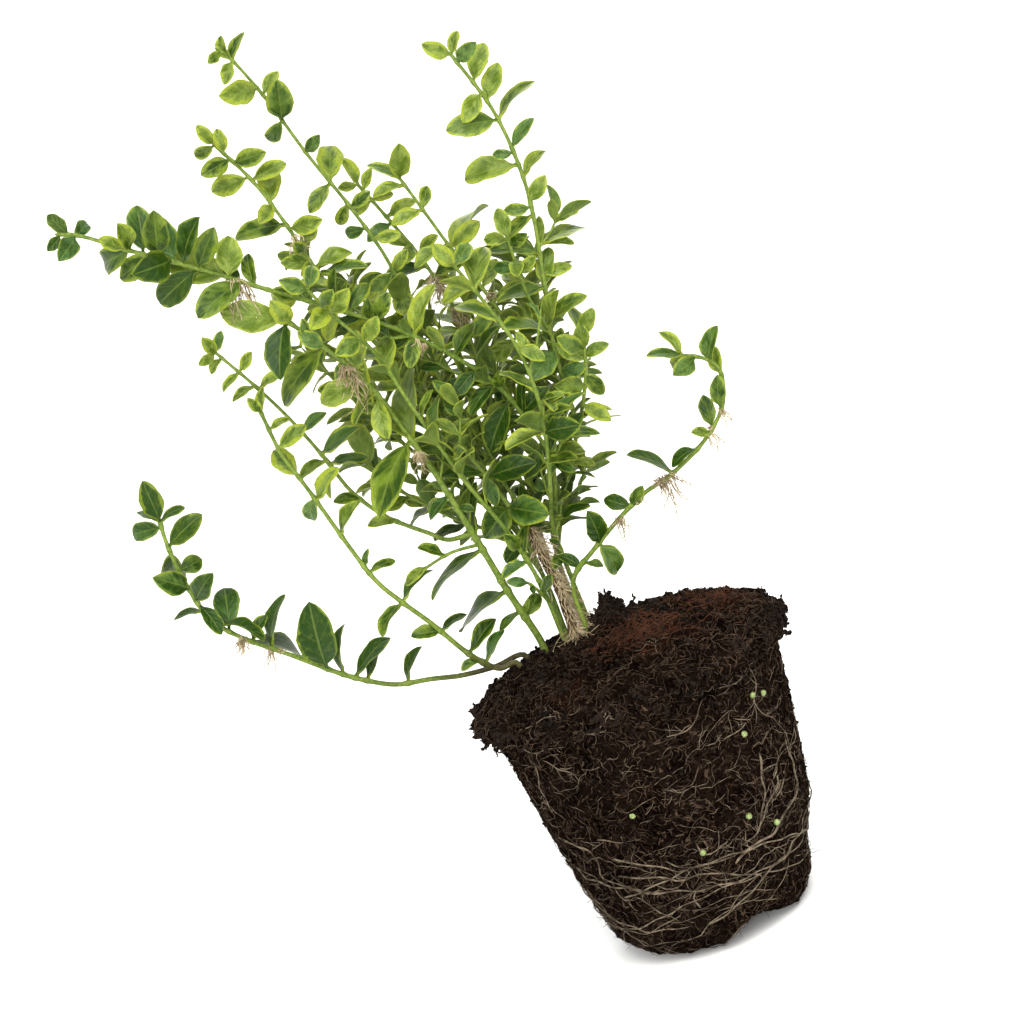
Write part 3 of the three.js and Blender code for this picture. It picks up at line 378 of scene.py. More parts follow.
def build_leaf_material():
    made, net, shader = new_material("variegated_leaf", 0.5, 0.16)
    split = net.add("SeparateXYZ", {"Vector": net.add("UVMap", uv_map="leaf_map")["UV"]})
    u, along = split["X"], split["Y"]
    across = net.math("ABSOLUTE", net.times_plus(u, 2.0, -1.0))
    own, gold, paleness_and_painted_shade, under = (net.add("Attribute", attribute_name="leaf_" + name)["Fac"]
                               for name in ("seed", "gold", "paleness_and_painted_shade", "under"))
    seed = net.times(own, 57.0)

    def leaf_noise(x, y, detail, roughness=0.5):
        at = net.add("CombineXYZ", {"X": x, "Y": y, "Z": seed})
        return net.noise(at[0], 1.0, detail, roughness)

    # position along a side vein, which runs forward from the midrib
    vein = net.times_plus(across, VEIN_SLANT, along)
    streak = leaf_noise(net.times(vein, 11.0), net.times(u, 3.0), 2.0)
    broad = leaf_noise(net.times_plus(u, 1.9, seed), net.times(along, 2.6), 1.0)
    blotch = leaf_noise(net.times(u, 7.0), net.times(along, 13.0), 3.0, 0.6)
    fine = net.noise(net.place(), 1500)

    # the margin: wide where the leaf is golden, and a thin pale edge on every leaf
    uneven = net.times_plus(streak, 0.55, net.times_plus(broad, 0.9, -0.725))
    towards_tip = net.times(net.ramp(along, 0.66, 1.0), 0.30)
    edge = net.math("ADD", net.math("ADD", across, uneven), towards_tip)
    start = net.times_plus(net.math("POWER", gold, 1.5), -0.66, 0.97)
    over = net.math("SUBTRACT", edge, start)
    wide_margin = net.times(net.ramp(over, 0.0, 0.06), 0.92)
    thin_edge = net.ramp(net.times_plus(streak, 0.20, across), 0.93, 1.0)
    margin = net.math("MAXIMUM", wide_margin, net.times(thin_edge, 0.55))

    # the green: cool or warm, pale or deep, in soft patches; how pale follows the leaf's paleness
    # number, which holds painted shade as well as the leaf's own tone
    patches = net.ramp(net.times_plus(streak, 0.6, broad), 0.62, 0.98)
    warm = net.ramp(net.times_plus(gold, 0.6, own), 0.15, 0.80)
    middling = net.blend(warm, LEAF_COOL, LEAF_WARM)
    pale = net.blend(warm, LEAF_COOL_PALE, LEAF_WARM_PALE)
    paler = net.ramp(paleness_and_painted_shade, 0.30, 0.95)
    ground = net.blend(paler, middling, pale)
    deep = net.blend(net.times(paler, 0.85), LEAF_DARK, middling)
    green = net.blend(patches, deep, ground)
    green = net.blend(net.times(net.ramp(over, -0.34, -0.04), 0.55), green, pale)
    # painted shade, together with the leaf's own tone: a low paleness number pulls the leaf
    # towards LEAF_DARK and its margin towards olive
    green = net.blend(net.times(net.ramp(paleness_and_painted_shade, 0.36, 0.02), 0.92), green, LEAF_DARK)
    golden = net.blend(net.ramp(paleness_and_painted_shade, 0.15, 0.70), LEAF_OLIVE, LEAF_GOLD)
    colour = net.blend(margin, green, golden)

    # blotches, speckle, midrib, side veins and the paler underside
    ripple = net.math("PINGPONG", net.times(vein, VEINS), 1.0)
    for mask, strength, tone in ((net.ramp(blotch, 0.46, 0.70), 0.24, LEAF_DARK),
                                 (net.ramp(blotch, 0.50, 0.28), 0.12, LEAF_GOLD),
                                 (net.ramp(fine, 0.46, 0.68), 0.24, LEAF_DARK),
                                 (net.ramp(across, 0.09, 0.03), 0.40, LEAF_RIB),
                                 (net.ramp(ripple, 0.16, 0.0), 0.17, LEAF_RIB),
                                 (under, 0.42, LEAF_UNDER)):
        colour = net.blend(net.times(mask, strength), colour, tone)

    groove = net.times(net.ramp(across, 0.0, 0.14), 1.4)
    height = net.math("ADD", net.times_plus(fine, 0.18, ripple), groove)
    rough = net.times_plus(under, 0.2, net.times_plus(streak, 0.12, 0.34))
    net.feed(shader, {"Base Color": colour, "Roughness": rough, "Subsurface Weight": 0.35,
                      "Subsurface Radius": (1.0, 1.0, 0.3), "Subsurface Scale": 0.0006,
                      "Normal": net.bump(height, 0.00022, 0.55)})
    return made


leaf_material = build_leaf_material()
print("leaf material nodes:", len(leaf_material.node_tree.nodes))

# %% [markdown]
# Where each stem runs was read from the front: across and up on a plane through the foot that
# faces the viewer, with a depth behind it, in millimetres. These are the same readings that the
# solids were made from. A leaf is its base, its tip and how wide it looks. A tuft is a place, a
# count and a length of aerial rootlets. Between the heights in fill, leaves follow a rule. Two
# entries are not in the solids: sprigs gives the heights between which side sprigs grow, and tone
# is added to how golden and how pale the shoot's leaves are.

# %% Readings
shoots = [
    {"name": "shoot_low_left", "hole": [-35, 15], "thick": [1.3, 0.8], "tone": [-0.1, -0.42],
     "route": [[-47, 121, 15], [-60, 122.5, 14], [-72, 125.6, 12], [-85, 128.5, 9], [-95, 134, 7],
      [-105, 141.5, 4], [-120, 155, 0], [-130, 163.5, -2], [-140, 174, -5], [-144.5, 184, -7],
      [-147, 200, -9], [-147.5, 213, -10], [-146.5, 223, -11]],
     "leaves": [[-147, 223, -148, 237, 8.5], [-147, 224, -154, 227, 3.5],
      [-146, 224, -136, 222, 3], [-147, 218, -159, 219, 7], [-148, 209, -131, 217, 8],
      [-147, 207, -149, 198, 9], [-146, 193, -157, 201, 9], [-148, 199, -137, 201, 7],
      [-145, 188, -136, 194, 8], [-143, 182, -156, 183, 2.5], [-143, 184, -141, 171, 6],
      [-136, 174, -133, 188, 10], [-139, 178, -126, 163, 4], [-130, 164, -122, 172, 4],
      [-125, 160, -113, 177, 4], [-131, 162, -114, 149, 6], [-109, 145, -105, 170, 14],
      [-101, 140, -96, 158, 3], [-112, 149, -98, 142, 6], [-98, 137, -81, 147, 5],
      [-94, 134, -86, 144, 4], [-82, 128, -71, 139, 3]],
     "tufts": [[-137, 167, 3, 6], [-125, 158, 2, 5]]},
    {"name": "shoot_left", "hole": [-38.5, 7], "thick": [1.3, 0.75],
     "route": [[-46.5, 120, 6], [-55, 129.5, 3], [-64, 145.5, -2], [-72, 158, -6], [-78, 169, -9],
      [-83, 186, -12], [-88, 206, -15], [-91, 217, -17], [-94, 228, -19], [-95.5, 248, -22]],
     "leaves": [[-61, 141, -73, 144, 5], [-61, 141, -50, 144, 3], [-72, 157, -84, 148, 4],
      [-71, 157, -56, 165, 4], [-80, 176, -76, 181, 2.5], [-79, 174, -68, 173, 3],
      [-84, 191, -73, 200, 3.5], [-88, 206, -93, 200, 6], [-87, 205, -76, 215, 4.5],
      [-92, 217, -96, 230, 8], [-93, 231, -81, 234, 6], [-94, 237, -86, 239, 3],
      [-95, 245, -98, 252, 4], [-95, 247, -91, 254, 3.5], [-51, 124, -60, 124.5, 3],
      [-54, 129, -40, 138, 6], [-50, 123.5, -39, 133, 4]]},
    {"name": "shoot_front", "hole": [-27, 5], "thick": [1.7, 0.85], "tone": [0.0, 0.1],
     "sprigs": [150, 240],
     "route": [[-28, 128, 4], [-32, 146, 0], [-37, 175, -7], [-42, 201, -14], [-46.7, 219, -19],
      [-54, 243, -25], [-65, 262, -31], [-75, 277, -35]],
     "leaves": [[-30, 134, -21, 141, 6], [-33, 145, -55, 138, 6], [-31, 143, -14, 160, 4],
      [-33, 150, -20, 158, 4.5], [-36, 164, -61, 155, 5], [-36, 170, -28, 190, 5],
      [-41, 187, -50, 183, 4], [-46, 212, -36, 240, 9], [-47, 213, -68, 191, 11],
      [-63, 258, -87, 245, 10], [-73, 274, -84, 254, 9], [-74, 276, -96, 286, 11],
      [-71, 272, -76, 284, 7], [-54, 243, -73, 240, 9], [-56, 246, -50, 262, 8],
      [-38, 184, -30, 178, 4]],
     "tufts": [[-57, 248, 4, 8], [-44, 207, 3, 6]],
     "twigs": [
      {"thick": [1.1, 0.65],
       "route": [[-36.5, 172, -6.6], [-46, 173, -2], [-52, 178, 2], [-65, 190, 6], [-74, 204, 9],
        [-79, 220, 10], [-86, 239, 9], [-94, 256, 8], [-104, 274.5, 7]],
       "leaves": [[-104, 273, -106, 280, 5], [-103, 273, -98, 280, 4], [-103, 273, -111, 271, 4],
        [-102, 271, -108, 266, 3], [-97, 263, -90, 268, 4], [-97, 263, -106, 258, 3],
        [-93, 255, -104, 253, 3.5], [-92, 254, -82, 256, 3.5], [-84, 232, -72, 236, 4],
        [-78, 218, -91, 216, 4], [-79, 221, -62, 226, 6], [-77, 216, -63, 214, 4],
        [-62, 187, -73, 190, 4], [-66, 192, -56, 199, 4], [-72, 200, -82, 203, 4]]},
      {"thick": [0.8, 0.6],
       "route": [[-35.6, 167, -5.2], [-47, 168, -9], [-59, 166, -12]],
       "leaves": [[-50, 168, -58, 175, 3.5], [-58, 166, -68, 163, 4]]}]},
    {"name": "shoot_long", "hole": [-10, 8], "thick": [1.1, 0.75], "tone": [-0.12, -0.42],
     "sprigs": [190, 260],
     "route": [[-9.6, 150, 7.5], [-3, 170, 5.5], [2, 186, 2], [0, 200, -2], [-7, 222, -8],
      [-18.4, 238, -14], [-34, 255, -20], [-53, 271, -27], [-76, 288.5, -34], [-98, 306, -41],
      [-120, 322, -46], [-134, 333, -49], [-144, 338, -50]],
     "leaves": [[-144, 337, -149, 333, 4], [-141, 335, -144, 346, 5], [-136, 333, -146, 328, 7],
      [-136, 333, -131, 338, 5], [-119, 325, -129, 330, 5], [-117, 323, -131, 320, 9],
      [-119, 323, -120, 333, 6], [-113, 321, -110, 337, 9], [-110, 316, -105, 332, 9],
      [-104, 315, -107, 331, 10], [-99, 312, -90, 324, 7], [-113, 317, -127, 313, 8],
      [-106, 311, -121, 312, 11], [-98, 304, -117, 299, 10], [-97, 307, -86, 318, 8],
      [-88, 297, -107, 315, 13], [-86, 299, -82, 313, 9], [-84, 294, -92, 303, 5],
      [-85, 291, -104, 288, 9], [-80, 289, -78, 304, 5], [-76, 287, -66, 281, 6],
      [-60, 278, -58, 293, 8], [-59, 275, -52, 267, 5], [-41, 263, -57, 257, 7],
      [-41, 262, -33, 270, 6], [-28, 251, -15, 267, 7], [-29, 249, -36, 240, 6],
      [-17, 238, -6, 247, 6], [-12, 230, -24, 224, 6], [-4.6, 213, -19, 199, 9],
      [-2, 207, 11, 214, 6], [1, 194, -9, 184, 7]],
     "tufts": [[-84, 296, 4, 8], [-27, 249, 2, 5]]},
    {"name": "shoot_upper_left", "hole": [-17, 9], "tone": [0.1, -0.02], "fill": [200, 262],
     "sprigs": [165, 290],
     "route": [[-17.4, 150, 8.5], [-18.8, 173, 4], [-25.7, 197, 1], [-34, 227, 3], [-45, 255, 5],
      [-55, 287, 8], [-60, 310, 11], [-66, 330, 14], [-75, 349, 16]],
     "leaves": [[-74.5, 348, -78, 357, 5], [-74.5, 348, -83, 346, 5], [-71, 343, -71, 353, 5],
      [-70, 341, -83, 338, 7], [-69, 339, -57, 338, 7], [-66, 331, -82, 331, 8],
      [-64, 329, -51, 331, 6], [-62.5, 319, -58, 332, 9], [-62, 318, -69, 313, 6],
      [-59, 309, -80, 312, 8], [-58, 307, -46, 305, 7], [-58, 299, -49, 304, 5],
      [-56, 292, -67, 296, 6], [-55, 289, -40, 290, 6], [-51, 273, -64, 275, 7],
      [-49, 269, -38, 276, 6], [-21, 190, -39, 196, 8], [-21, 190, -4, 188, 9],
      [-18.5, 176, -33, 169, 11], [-18.5, 176, -7, 168, 11], [-18, 163, -29, 157, 6]],
     "tufts": [[-57.5, 303, 3, 6]]},
    {"name": "shoot_tall", "hole": [-13.5, 10.5], "tone": [0.08, -0.1], "fill": [186, 266],
     "sprigs": [165, 250],
     "route": [[-13.8, 152, 11.5], [-17, 180, 14], [-24, 212, 17], [-27.7, 245, 16],
      [-28, 278, 14], [-34, 305, 13], [-42, 330, 12], [-49, 356, 11], [-56, 375.5, 10],
      [-60.4, 382, 9]],
     "leaves": [[-60, 381, -65, 378, 4], [-56, 375, -48, 384, 4], [-56.5, 374, -62, 368, 5],
      [-56, 376, -57, 386, 4], [-50.5, 362, -65, 364, 9], [-49.5, 358, -41, 365, 5],
      [-46.5, 347, -43, 362, 10], [-46, 346, -54, 341, 6], [-42, 331, -35, 336, 5],
      [-38, 318, -33, 331, 10], [-39, 317, -50, 310, 6], [-35, 307, -41, 301, 5],
      [-35, 306, -25, 309, 5], [-31, 296, -40, 297, 5], [-30.5, 292, -20, 289, 5],
      [-28, 277, -39, 273, 6], [-28, 276, -20, 283, 5]]},
    {"name": "shoot_upper_middle", "hole": [-13.5, 14.5], "fill": [180, 262], "sprigs": [160, 245],
     "route": [[-13.3, 150, 16.5], [-12, 180, 23], [-11, 215, 26], [-10.4, 248, 28],
      [-16, 277, 29], [-24, 301, 30], [-29, 314.5, 31]],
     "leaves": [[-29, 315, -31, 325, 5], [-28.5, 313, -36, 315, 4], [-27.5, 310, -21, 317, 4],
      [-26, 306, -34, 304, 5], [-25, 305, -17, 305, 4], [-23, 297, -10, 299, 5],
      [-22, 294, -33, 291, 5], [-18, 284, -26, 289, 4], [-17, 280, -7, 284, 4],
      [-15, 274, -34, 273, 5], [-14, 271, -2, 270, 5]],
     "tufts": [[-13, 267, 6, 8], [-11, 255, 4, 7]]},
    {"name": "shoot_middle", "hole": [-10, 12], "fill": [186, 226], "sprigs": [160, 255],
     "route": [[-9.6, 148, 12.5], [-7, 164, 13.2], [1, 183, 14], [6, 205, 16], [8.6, 226, 17],
      [2.7, 254, 18], [-3.5, 275, 19], [-9.5, 298, 20], [-13, 311, 20]],
     "leaves": [[-13, 310, -8, 322, 8], [-13, 309, -22, 319, 4], [-12.5, 307, -25, 307, 4],
      [-9, 295, -4, 303, 5], [-9, 294, -22, 294, 5], [-5, 279, -20, 275, 5], [-4, 277, 10, 283, 7],
      [-3.5, 274, 14, 288, 3.5], [0.5, 261, -15, 259, 6], [1, 259, 11, 267, 6],
      [3, 252, 20, 254, 5], [4, 249, -8, 243, 6], [7, 236, 20, 240, 7], [7, 235, -6, 231, 7]],
     "tufts": [[2, 256, 2, 5]]},
    {"name": "shoot_right", "hole": [-10, 16], "thick": [1.15, 0.75], "tone": [-0.04, 0.06],
     "fill": [186, 222], "sprigs": [160, 275],
     "route": [[-9.4, 150, 17.5], [-2, 170, 19.5], [8.4, 182, 16], [16, 198, 10], [18.7, 226, 5],
      [24.4, 251, 2], [30, 277, 0], [32, 297, -2], [30.4, 321, -4], [24, 344, -6],
      [22.6, 348, -6]],
     "leaves": [[23, 347, 14, 354, 6], [23, 347, 29, 354, 4], [24, 344, 34, 347, 6],
      [25.5, 334, 37, 346, 7], [28, 328, 18, 321, 7], [29, 324, 39, 337, 7], [31, 317, 11, 320, 9],
      [31, 316, 50, 325, 3], [31.5, 305, 44, 312, 5], [32, 302, 24, 305, 4],
      [32, 297, 10.5, 300, 8], [32, 293, 44, 299, 4], [31, 283, 40, 290, 6],
      [30.5, 281, 20, 283, 5], [30, 277, 16, 272, 5], [29, 266, 47, 266, 5], [27, 264, 9, 271, 6],
      [24, 250, 31, 264, 7], [25, 254, 37, 254, 5], [24, 249, 5, 252, 6], [21, 238, 38, 241, 5],
      [20.5, 236, 28, 247, 5], [19, 228, 29, 219, 7], [18.7, 226, 6, 219, 9]],
     "twigs": [
      {"thick": [0.9, 0.65],
       "route": [[14, 192, 12], [22, 204, 5], [28, 217, 0], [31, 230, -3]],
       "leaves": [[18, 199, 31, 197, 4], [21, 202, 29, 193, 6], [24, 208, 14, 213, 7],
        [27, 213, 30, 203, 6], [28, 218, 39, 221, 5], [29, 222, 21, 230, 7], [31, 229, 38, 236, 6],
        [31, 229, 30, 240, 5]]},
      {"thick": [0.8, 0.6],
       "route": [[20, 232, 4.4], [17, 247, 0], [17, 262, -4], [18, 275, -6]],
       "leaves": [[18, 275, 18, 285, 6], [17.8, 273, 9, 276, 5], [17.5, 270, 25, 272, 5],
        [17, 261, 8, 264, 5], [17, 259, 25, 262, 5]]}]},
    {"name": "shoot_runner", "hole": [-9.2, 0], "thick": [1.2, 0.75], "tone": [0.0, 0.15],
     "route": [[-8.6, 136, -1], [-5.3, 143, -4], [4.6, 149, -7], [17, 156, -10], [30.5, 162, -13],
      [42, 164.7, -15], [56, 170.4, -18], [67, 178, -20], [73, 186, -22], [75, 196, -23],
      [71, 202, -24], [62, 207, -25]],
     "leaves": [[61.5, 207, 51, 211, 4], [61.5, 207, 59, 218, 3.5], [68, 203.5, 58, 200, 7],
      [64, 206, 58, 203, 5], [73.5, 200, 80, 212, 5], [75, 193, 76, 205, 5],
      [70.5, 182, 73, 194, 6], [64, 176, 66, 189, 6], [62, 174.5, 56, 177, 4],
      [56, 170.5, 44, 168, 4], [44, 165.5, 30, 178.5, 4], [23, 158.6, 15.5, 166, 6],
      [7, 150.5, 8, 163, 8], [8, 151, 10.5, 137, 8], [-1, 145.5, 6, 142, 3],
      [-3, 144.5, -9, 152, 4], [24, 159, 31, 165, 5]],
     "tufts": [[18, 156.5, 2, 8], [27, 160.5, 2, 6], [40, 164.3, 5, 12], [64, 175.5, 2, 6],
      [69.5, 181, 1, 5]]},
    {"name": "shoot_back_left", "hole": [-17, 16.5], "fill": [176, 264], "sprigs": [160, 270],
     "route": [[-17.5, 150, 19], [-23, 172, 24], [-38, 196, 31], [-52, 220, 36], [-63, 243, 38],
      [-70, 262, 38]]},
    {"name": "shoot_back", "hole": [-17, 20.5], "fill": [176, 284], "sprigs": [160, 255],
     "route": [[-17.5, 150, 26], [-22, 178, 36], [-31, 212, 45], [-38, 247, 49], [-45, 283, 49]]},
    {"name": "shoot_back_middle", "hole": [-13.5, 19], "fill": [176, 282], "sprigs": [160, 250],
     "route": [[-13.3, 150, 25], [-10, 180, 42], [-7, 215, 52], [-6, 250, 55], [-12, 281, 54]]},
    {"name": "shoot_back_right", "hole": [-10, 20], "fill": [174, 276], "sprigs": [160, 250],
     "route": [[-9.3, 150, 23], [2, 174, 33], [13, 205, 37], [18, 240, 38], [16, 274, 36]]},
    {"name": "shoot_front_left", "hole": [-18.7, 3.5], "fill": [178, 250], "sprigs": [160, 240],
     "route": [[-19.5, 146, 0], [-24, 168, -8], [-32, 192, -17], [-40, 224, -24], [-46, 250, -28],
      [-56, 270, -31], [-62, 284, -33]],
     "leaves": [[-61.5, 283, -70, 290, 6], [-62, 283, -56, 291, 6], [-57, 272, -66, 268, 7],
      [-56, 270, -47, 277, 7], [-49, 257, -60, 255, 7], [-48, 255, -40, 263, 6]],
     "twigs": [
      {"thick": [0.8, 0.6],
       "route": [[-19, 137, 1.5], [-21, 142, -4], [-24, 147, -9]],
       "leaves": [[-23.5, 146.5, -31, 150, 4], [-20.5, 141, -14, 146, 4]]}]},
    {"name": "shoot_front_right", "hole": [-7.4, 4.6], "fill": [176, 262], "sprigs": [160, 235],
     "route": [[-7.4, 146, 4.6], [-6.8, 163, 2.6], [-2, 178, -11], [5, 204, -22], [6, 230, -25],
      [0, 254, -27], [-6, 272, -28]],
     "leaves": [[-6, 271, -10, 281, 6], [-6, 270, 3, 277, 6]]},
    {"name": "shoot_left_low", "hole": [-17, 12.7], "fill": [160, 216], "sprigs": [150, 205],
     "route": [[-17.5, 148, 13.5], [-25, 165, 16.5], [-42, 181, 19], [-56, 197, 22],
      [-66, 214, 24]]}]

old_stem = {"name": "old_stem", "hole": [-14, 3], "thick": [2.7, 1.8],
            "route": [[-13.3, 140, 3], [-14.5, 152, 3], [-15.5, 166, 3]],
            "tufts": [[-13.4, 134, 2, 4.5], [-13.5, 142, 4, 6], [-14, 149, 4, 8],
                      [-15, 156, 4, 7], [-15.5, 162, 2, 6]]}
plants = shoots + [old_stem]
USUAL_THICK = [1.1, 0.7]
for plan in plants:
    for part in [plan] + plan.setdefault("twigs", []):
        part.setdefault("thick", USUAL_THICK)
        part.setdefault("leaves", [])
        part.setdefault("tufts", [])
print("leaves read from the photograph:",
      sum(len(part["leaves"]) for plan in plants for part in [plan] + plan["twigs"]))

# %% [markdown]
# To dress the solids, the script must find every leaf where the solids have it. It therefore
# repeats their rule with the same numbers and the same seeded draws. Blender's own vectors keep
# only seven digits, which could tip a close decision, so this part uses plain tuples.

# %% Plain vectors
def plus(a, b):
    return (a[0] + b[0], a[1] + b[1], a[2] + b[2])


def minus(a, b):
    return (a[0] - b[0], a[1] - b[1], a[2] - b[2])


def times(a, factor):
    return (a[0] * factor, a[1] * factor, a[2] * factor)


def dot(a, b):
    return a[0] * b[0] + a[1] * b[1] + a[2] * b[2]


def cross(a, b):
    return (a[1] * b[2] - a[2] * b[1], a[2] * b[0] - a[0] * b[2], a[0] * b[1] - a[1] * b[0])


def size_of(a):
    return math.sqrt(dot(a, a))


def unit(a):
    return times(a, 1 / size_of(a))


def between(first, second, angle):
    return plus(times(first, math.cos(angle)), times(second, math.sin(angle)))


def turned_about(a, axis, angle):
    along = times(axis, dot(axis, a) * (1 - math.cos(angle)))
    return plus(between(a, cross(axis, a), angle), along)


def around(turn, reach, z=0.0):
    return (reach * math.cos(turn), reach * math.sin(turn), z)


RIGHT = (1.0, 0.0, 0.0)
UPWARD = (0.0, math.sin(ELEVATION), math.cos(ELEVATION))
AWAY = (0.0, math.cos(ELEVATION), -math.sin(ELEVATION))
EYE = plus(plus(times(RIGHT, AIM_ACROSS), times(UPWARD, AIM_UP)), times(AWAY, -EYE_DISTANCE))


def seen(across, up, depth):
    on_plane = plus(times(RIGHT, across), times(UPWARD, up))
    reach = (depth - EYE[1]) / (on_plane[1] - EYE[1])
    return plus(EYE, times(minus(on_plane, EYE), reach))


print("eye in millimetres:", [round(value, 1) for value in EYE])

# %% [markdown]
# A stem is a smooth curve through its readings. The curve is a uniform Catmull-Rom spline, cut
# into even lengths by a table of 200 short chords. The coarse line is the one in the solids,
# and a finer one through the same points gives the stem that shows.

# %% Curves
CHORDS = 200


def curve_point(points, share):
    place = (len(points) - 1) * share
    knot = math.floor(place)
    weight = place - knot
    if weight == 0 and knot == len(points) - 1:
        knot, weight = len(points) - 2, 1.0
    second, third = points[knot], points[knot + 1]
    first = points[knot - 1] if knot > 0 else plus(minus(second, third), second)
    fourth = points[knot + 2] if knot + 2 < len(points) else plus(minus(third, second), third)
    result = []
    for a, b, c, d in zip(first, second, third, fourth):
        leave, arrive = 0.5 * (c - a), 0.5 * (d - b)
        bend = -3 * b + 3 * c - 2 * leave - arrive
        twist = 2 * b - 2 * c + leave + arrive
        result.append(b + leave * weight + bend * weight ** 2 + twist * weight ** 3)
    return tuple(result)


def chord_table(points):
    table = [0.0]
    last = curve_point(points, 0)
    for step in range(1, CHORDS + 1):
        here = curve_point(points, step / CHORDS)
        table.append(table[-1] + size_of(minus(here, last)))
        last = here
    return table


def evenly(points, table, steps):
    result = []
    for step in range(steps + 1):
        target = step / steps * table[-1]
        chord = 0
        while chord < CHORDS - 1 and table[chord + 1] <= target:
            chord += 1
        inside = (target - table[chord]) / (table[chord + 1] - table[chord])
        result.append(curve_point(points, (chord + inside) / CHORDS))
    return result


def frames_along(points):
    frames, normal = [], (1.0, 0.0, 0.0)
    for row in range(len(points)):
        before, after = points[max(row - 1, 0)], points[min(row + 1, len(points) - 1)]
        tangent = unit(minus(after, before))
        if abs(dot(normal, tangent)) > 0.9:
            normal = (0.0, 0.0, 1.0)
        normal = unit(minus(normal, times(tangent, dot(normal, tangent))))
        frames.append((tangent, normal, cross(normal, tangent)))
    return frames


# %% [markdown]
# The ball is a surface of rows from the foot to the crown. Its wall swells from a flat foot,
# flares a little upwards and ends in an overhanging lip, the print of a nursery pot's rim.

# %% The ball's form
FOOT_RADIUS = 27
WALL_FOOT_RADIUS = 44.5
WALL_FOOT_HEIGHT = 20
FOOT_ROUNDING = 12
WALL_TOP_RADIUS = 56.5
WALL_TOP_HEIGHT = 98
LIP_RADIUS = 62.5
LIP_HEIGHT = 105.5
CROWN_HEIGHT = 121.5
MOUND_X, MOUND_Y, MOUND_SPREAD, MOUND_HEIGHT = 1.5, 0, 4.6, 11.5
HOLLOW_X, HOLLOW_Y, HOLLOW_REACH, HOLLOW_DEPTH, HOLLOW_FADE = 10, -29, 18, 7, 30
WALL_LUMPS, LIP_RAGS, SOIL_LUMPS = 0.5, 1.3, 0.7

ball_profile = [(0, 0), (FOOT_RADIUS * 0.55, 0), (FOOT_RADIUS, 0)]
ball_profile += [(None, z) for z in (2.5, 9, 20, 36, 56, 78, WALL_TOP_HEIGHT)]
ball_profile += [(LIP_RADIUS - 1, 101), (LIP_RADIUS, LIP_HEIGHT), (LIP_RADIUS - 6, 111),
                 (47, 116.2), (33, 119.4), (19, CROWN_HEIGHT - 0.5), (10, CROWN_HEIGHT),
                 (5, CROWN_HEIGHT), (0, CROWN_HEIGHT)]


def clamp(value, low=0.0, high=1.0):
    return min(max(value, low), high)


def crumb(x, y, z):
    return (math.sin(0.31 * x + 0.17 * z) * math.sin(0.27 * y - 0.13 * z + 1.3)
            + 0.6 * math.sin(0.58 * x - 0.41 * y + 0.37 * z))


def wall_radius(turn, z):
    up = clamp(z / WALL_FOOT_HEIGHT)
    foot = FOOT_RADIUS + (WALL_FOOT_RADIUS - FOOT_RADIUS) * math.sqrt(up * (2 - up))
    rise = max(0.0, (z - WALL_FOOT_HEIGHT) / (WALL_TOP_HEIGHT - WALL_FOOT_HEIGHT))
    wall = (WALL_TOP_RADIUS - WALL_FOOT_RADIUS) * rise ** 0.85
    low = clamp((45 - z) / 45)
    return foot + wall - FOOT_ROUNDING * low * low * up * max(0.0, math.cos(turn))


def mound_height(x, y):
    near = math.hypot(x - MOUND_X, y - MOUND_Y) / MOUND_SPREAD
    return MOUND_HEIGHT * math.exp(-0.5 * near * near)


def hollowed(point):
    x, y, z = point
    near = min(math.hypot(x - HOLLOW_X, y - HOLLOW_Y) / HOLLOW_REACH, 1.0)
    lift = HOLLOW_DEPTH * 0.5 * (1 + math.cos(math.pi * near)) * clamp(1 - z / HOLLOW_FADE)
    return (x, y, z + lift)


def ball_point(turn, row):
    radius, z = ball_profile[row]
    if radius is None:
        bare = wall_radius(turn, z)
        lumps = WALL_LUMPS * crumb(*around(turn, 0.5 * bare, 0.5 * z))
        return hollowed(around(turn, bare + lumps, z))
    x, y, z = around(turn, radius, z)
    if z < WALL_TOP_HEIGHT:
        return hollowed((x, y, z))
    ragged = LIP_RAGS * crumb(2.1 * x, 2.1 * y, z) if radius > WALL_TOP_RADIUS - 1 else 0.0
    lift = 0.0
    if z > LIP_HEIGHT:
        lift = mound_height(x, y) + (SOIL_LUMPS * crumb(1.7 * x, 1.7 * y, z) if radius > 0 else 0)
    return plus((x, y, z + lift), around(turn, ragged))


def soil_height(x, y):
    reach = math.hypot(x, y)
    rows = [item for item in ball_profile if item[0] is not None and item[1] >= LIP_HEIGHT][::-1]
    outer = next(i for i, item in enumerate(rows) if item[0] > reach)
    (r0, z0), (r1, z1) = rows[outer - 1], rows[outer]
    return z0 + (z1 - z0) * (reach - r0) / (r1 - r0) + mound_height(x, y)


print("soil height at the old stem:", round(soil_height(*old_stem["hole"]), 1), "mm")

# %% Stem lines
HOLE_BOTTOM = 107.5
ABOVE_BOTTOM = 0.4
ABOVE_SOIL = 2
STEM_STEP = 19
FINE_STEP = 1.6


def fine_line(points):
    table = chord_table(points)
    return evenly(points, table, max(4, round(table[-1] / FINE_STEP)))


def stem_line(part, foot):
    route = [seen(*point) for point in part["route"]]
    table = chord_table(route)
    steps = max(2, math.floor(table[-1] / STEM_STEP + 0.5))
    points = foot + evenly(route, table, steps)
    return dict(part, points=points, frames=frames_along(points), fine=fine_line(foot + route),
                bases=[])


for plan in plants:
    x, y = plan["hole"]
    foot = [(x, y, HOLE_BOTTOM + ABOVE_BOTTOM), (x, y, soil_height(x, y) + ABOVE_SOIL)]
    plan["lines"] = [stem_line(plan, foot)] + [stem_line(twig, []) for twig in plan["twigs"]]
    plan["blades"] = []
print("stem lines:", sum(len(plan["lines"]) for plan in plants))

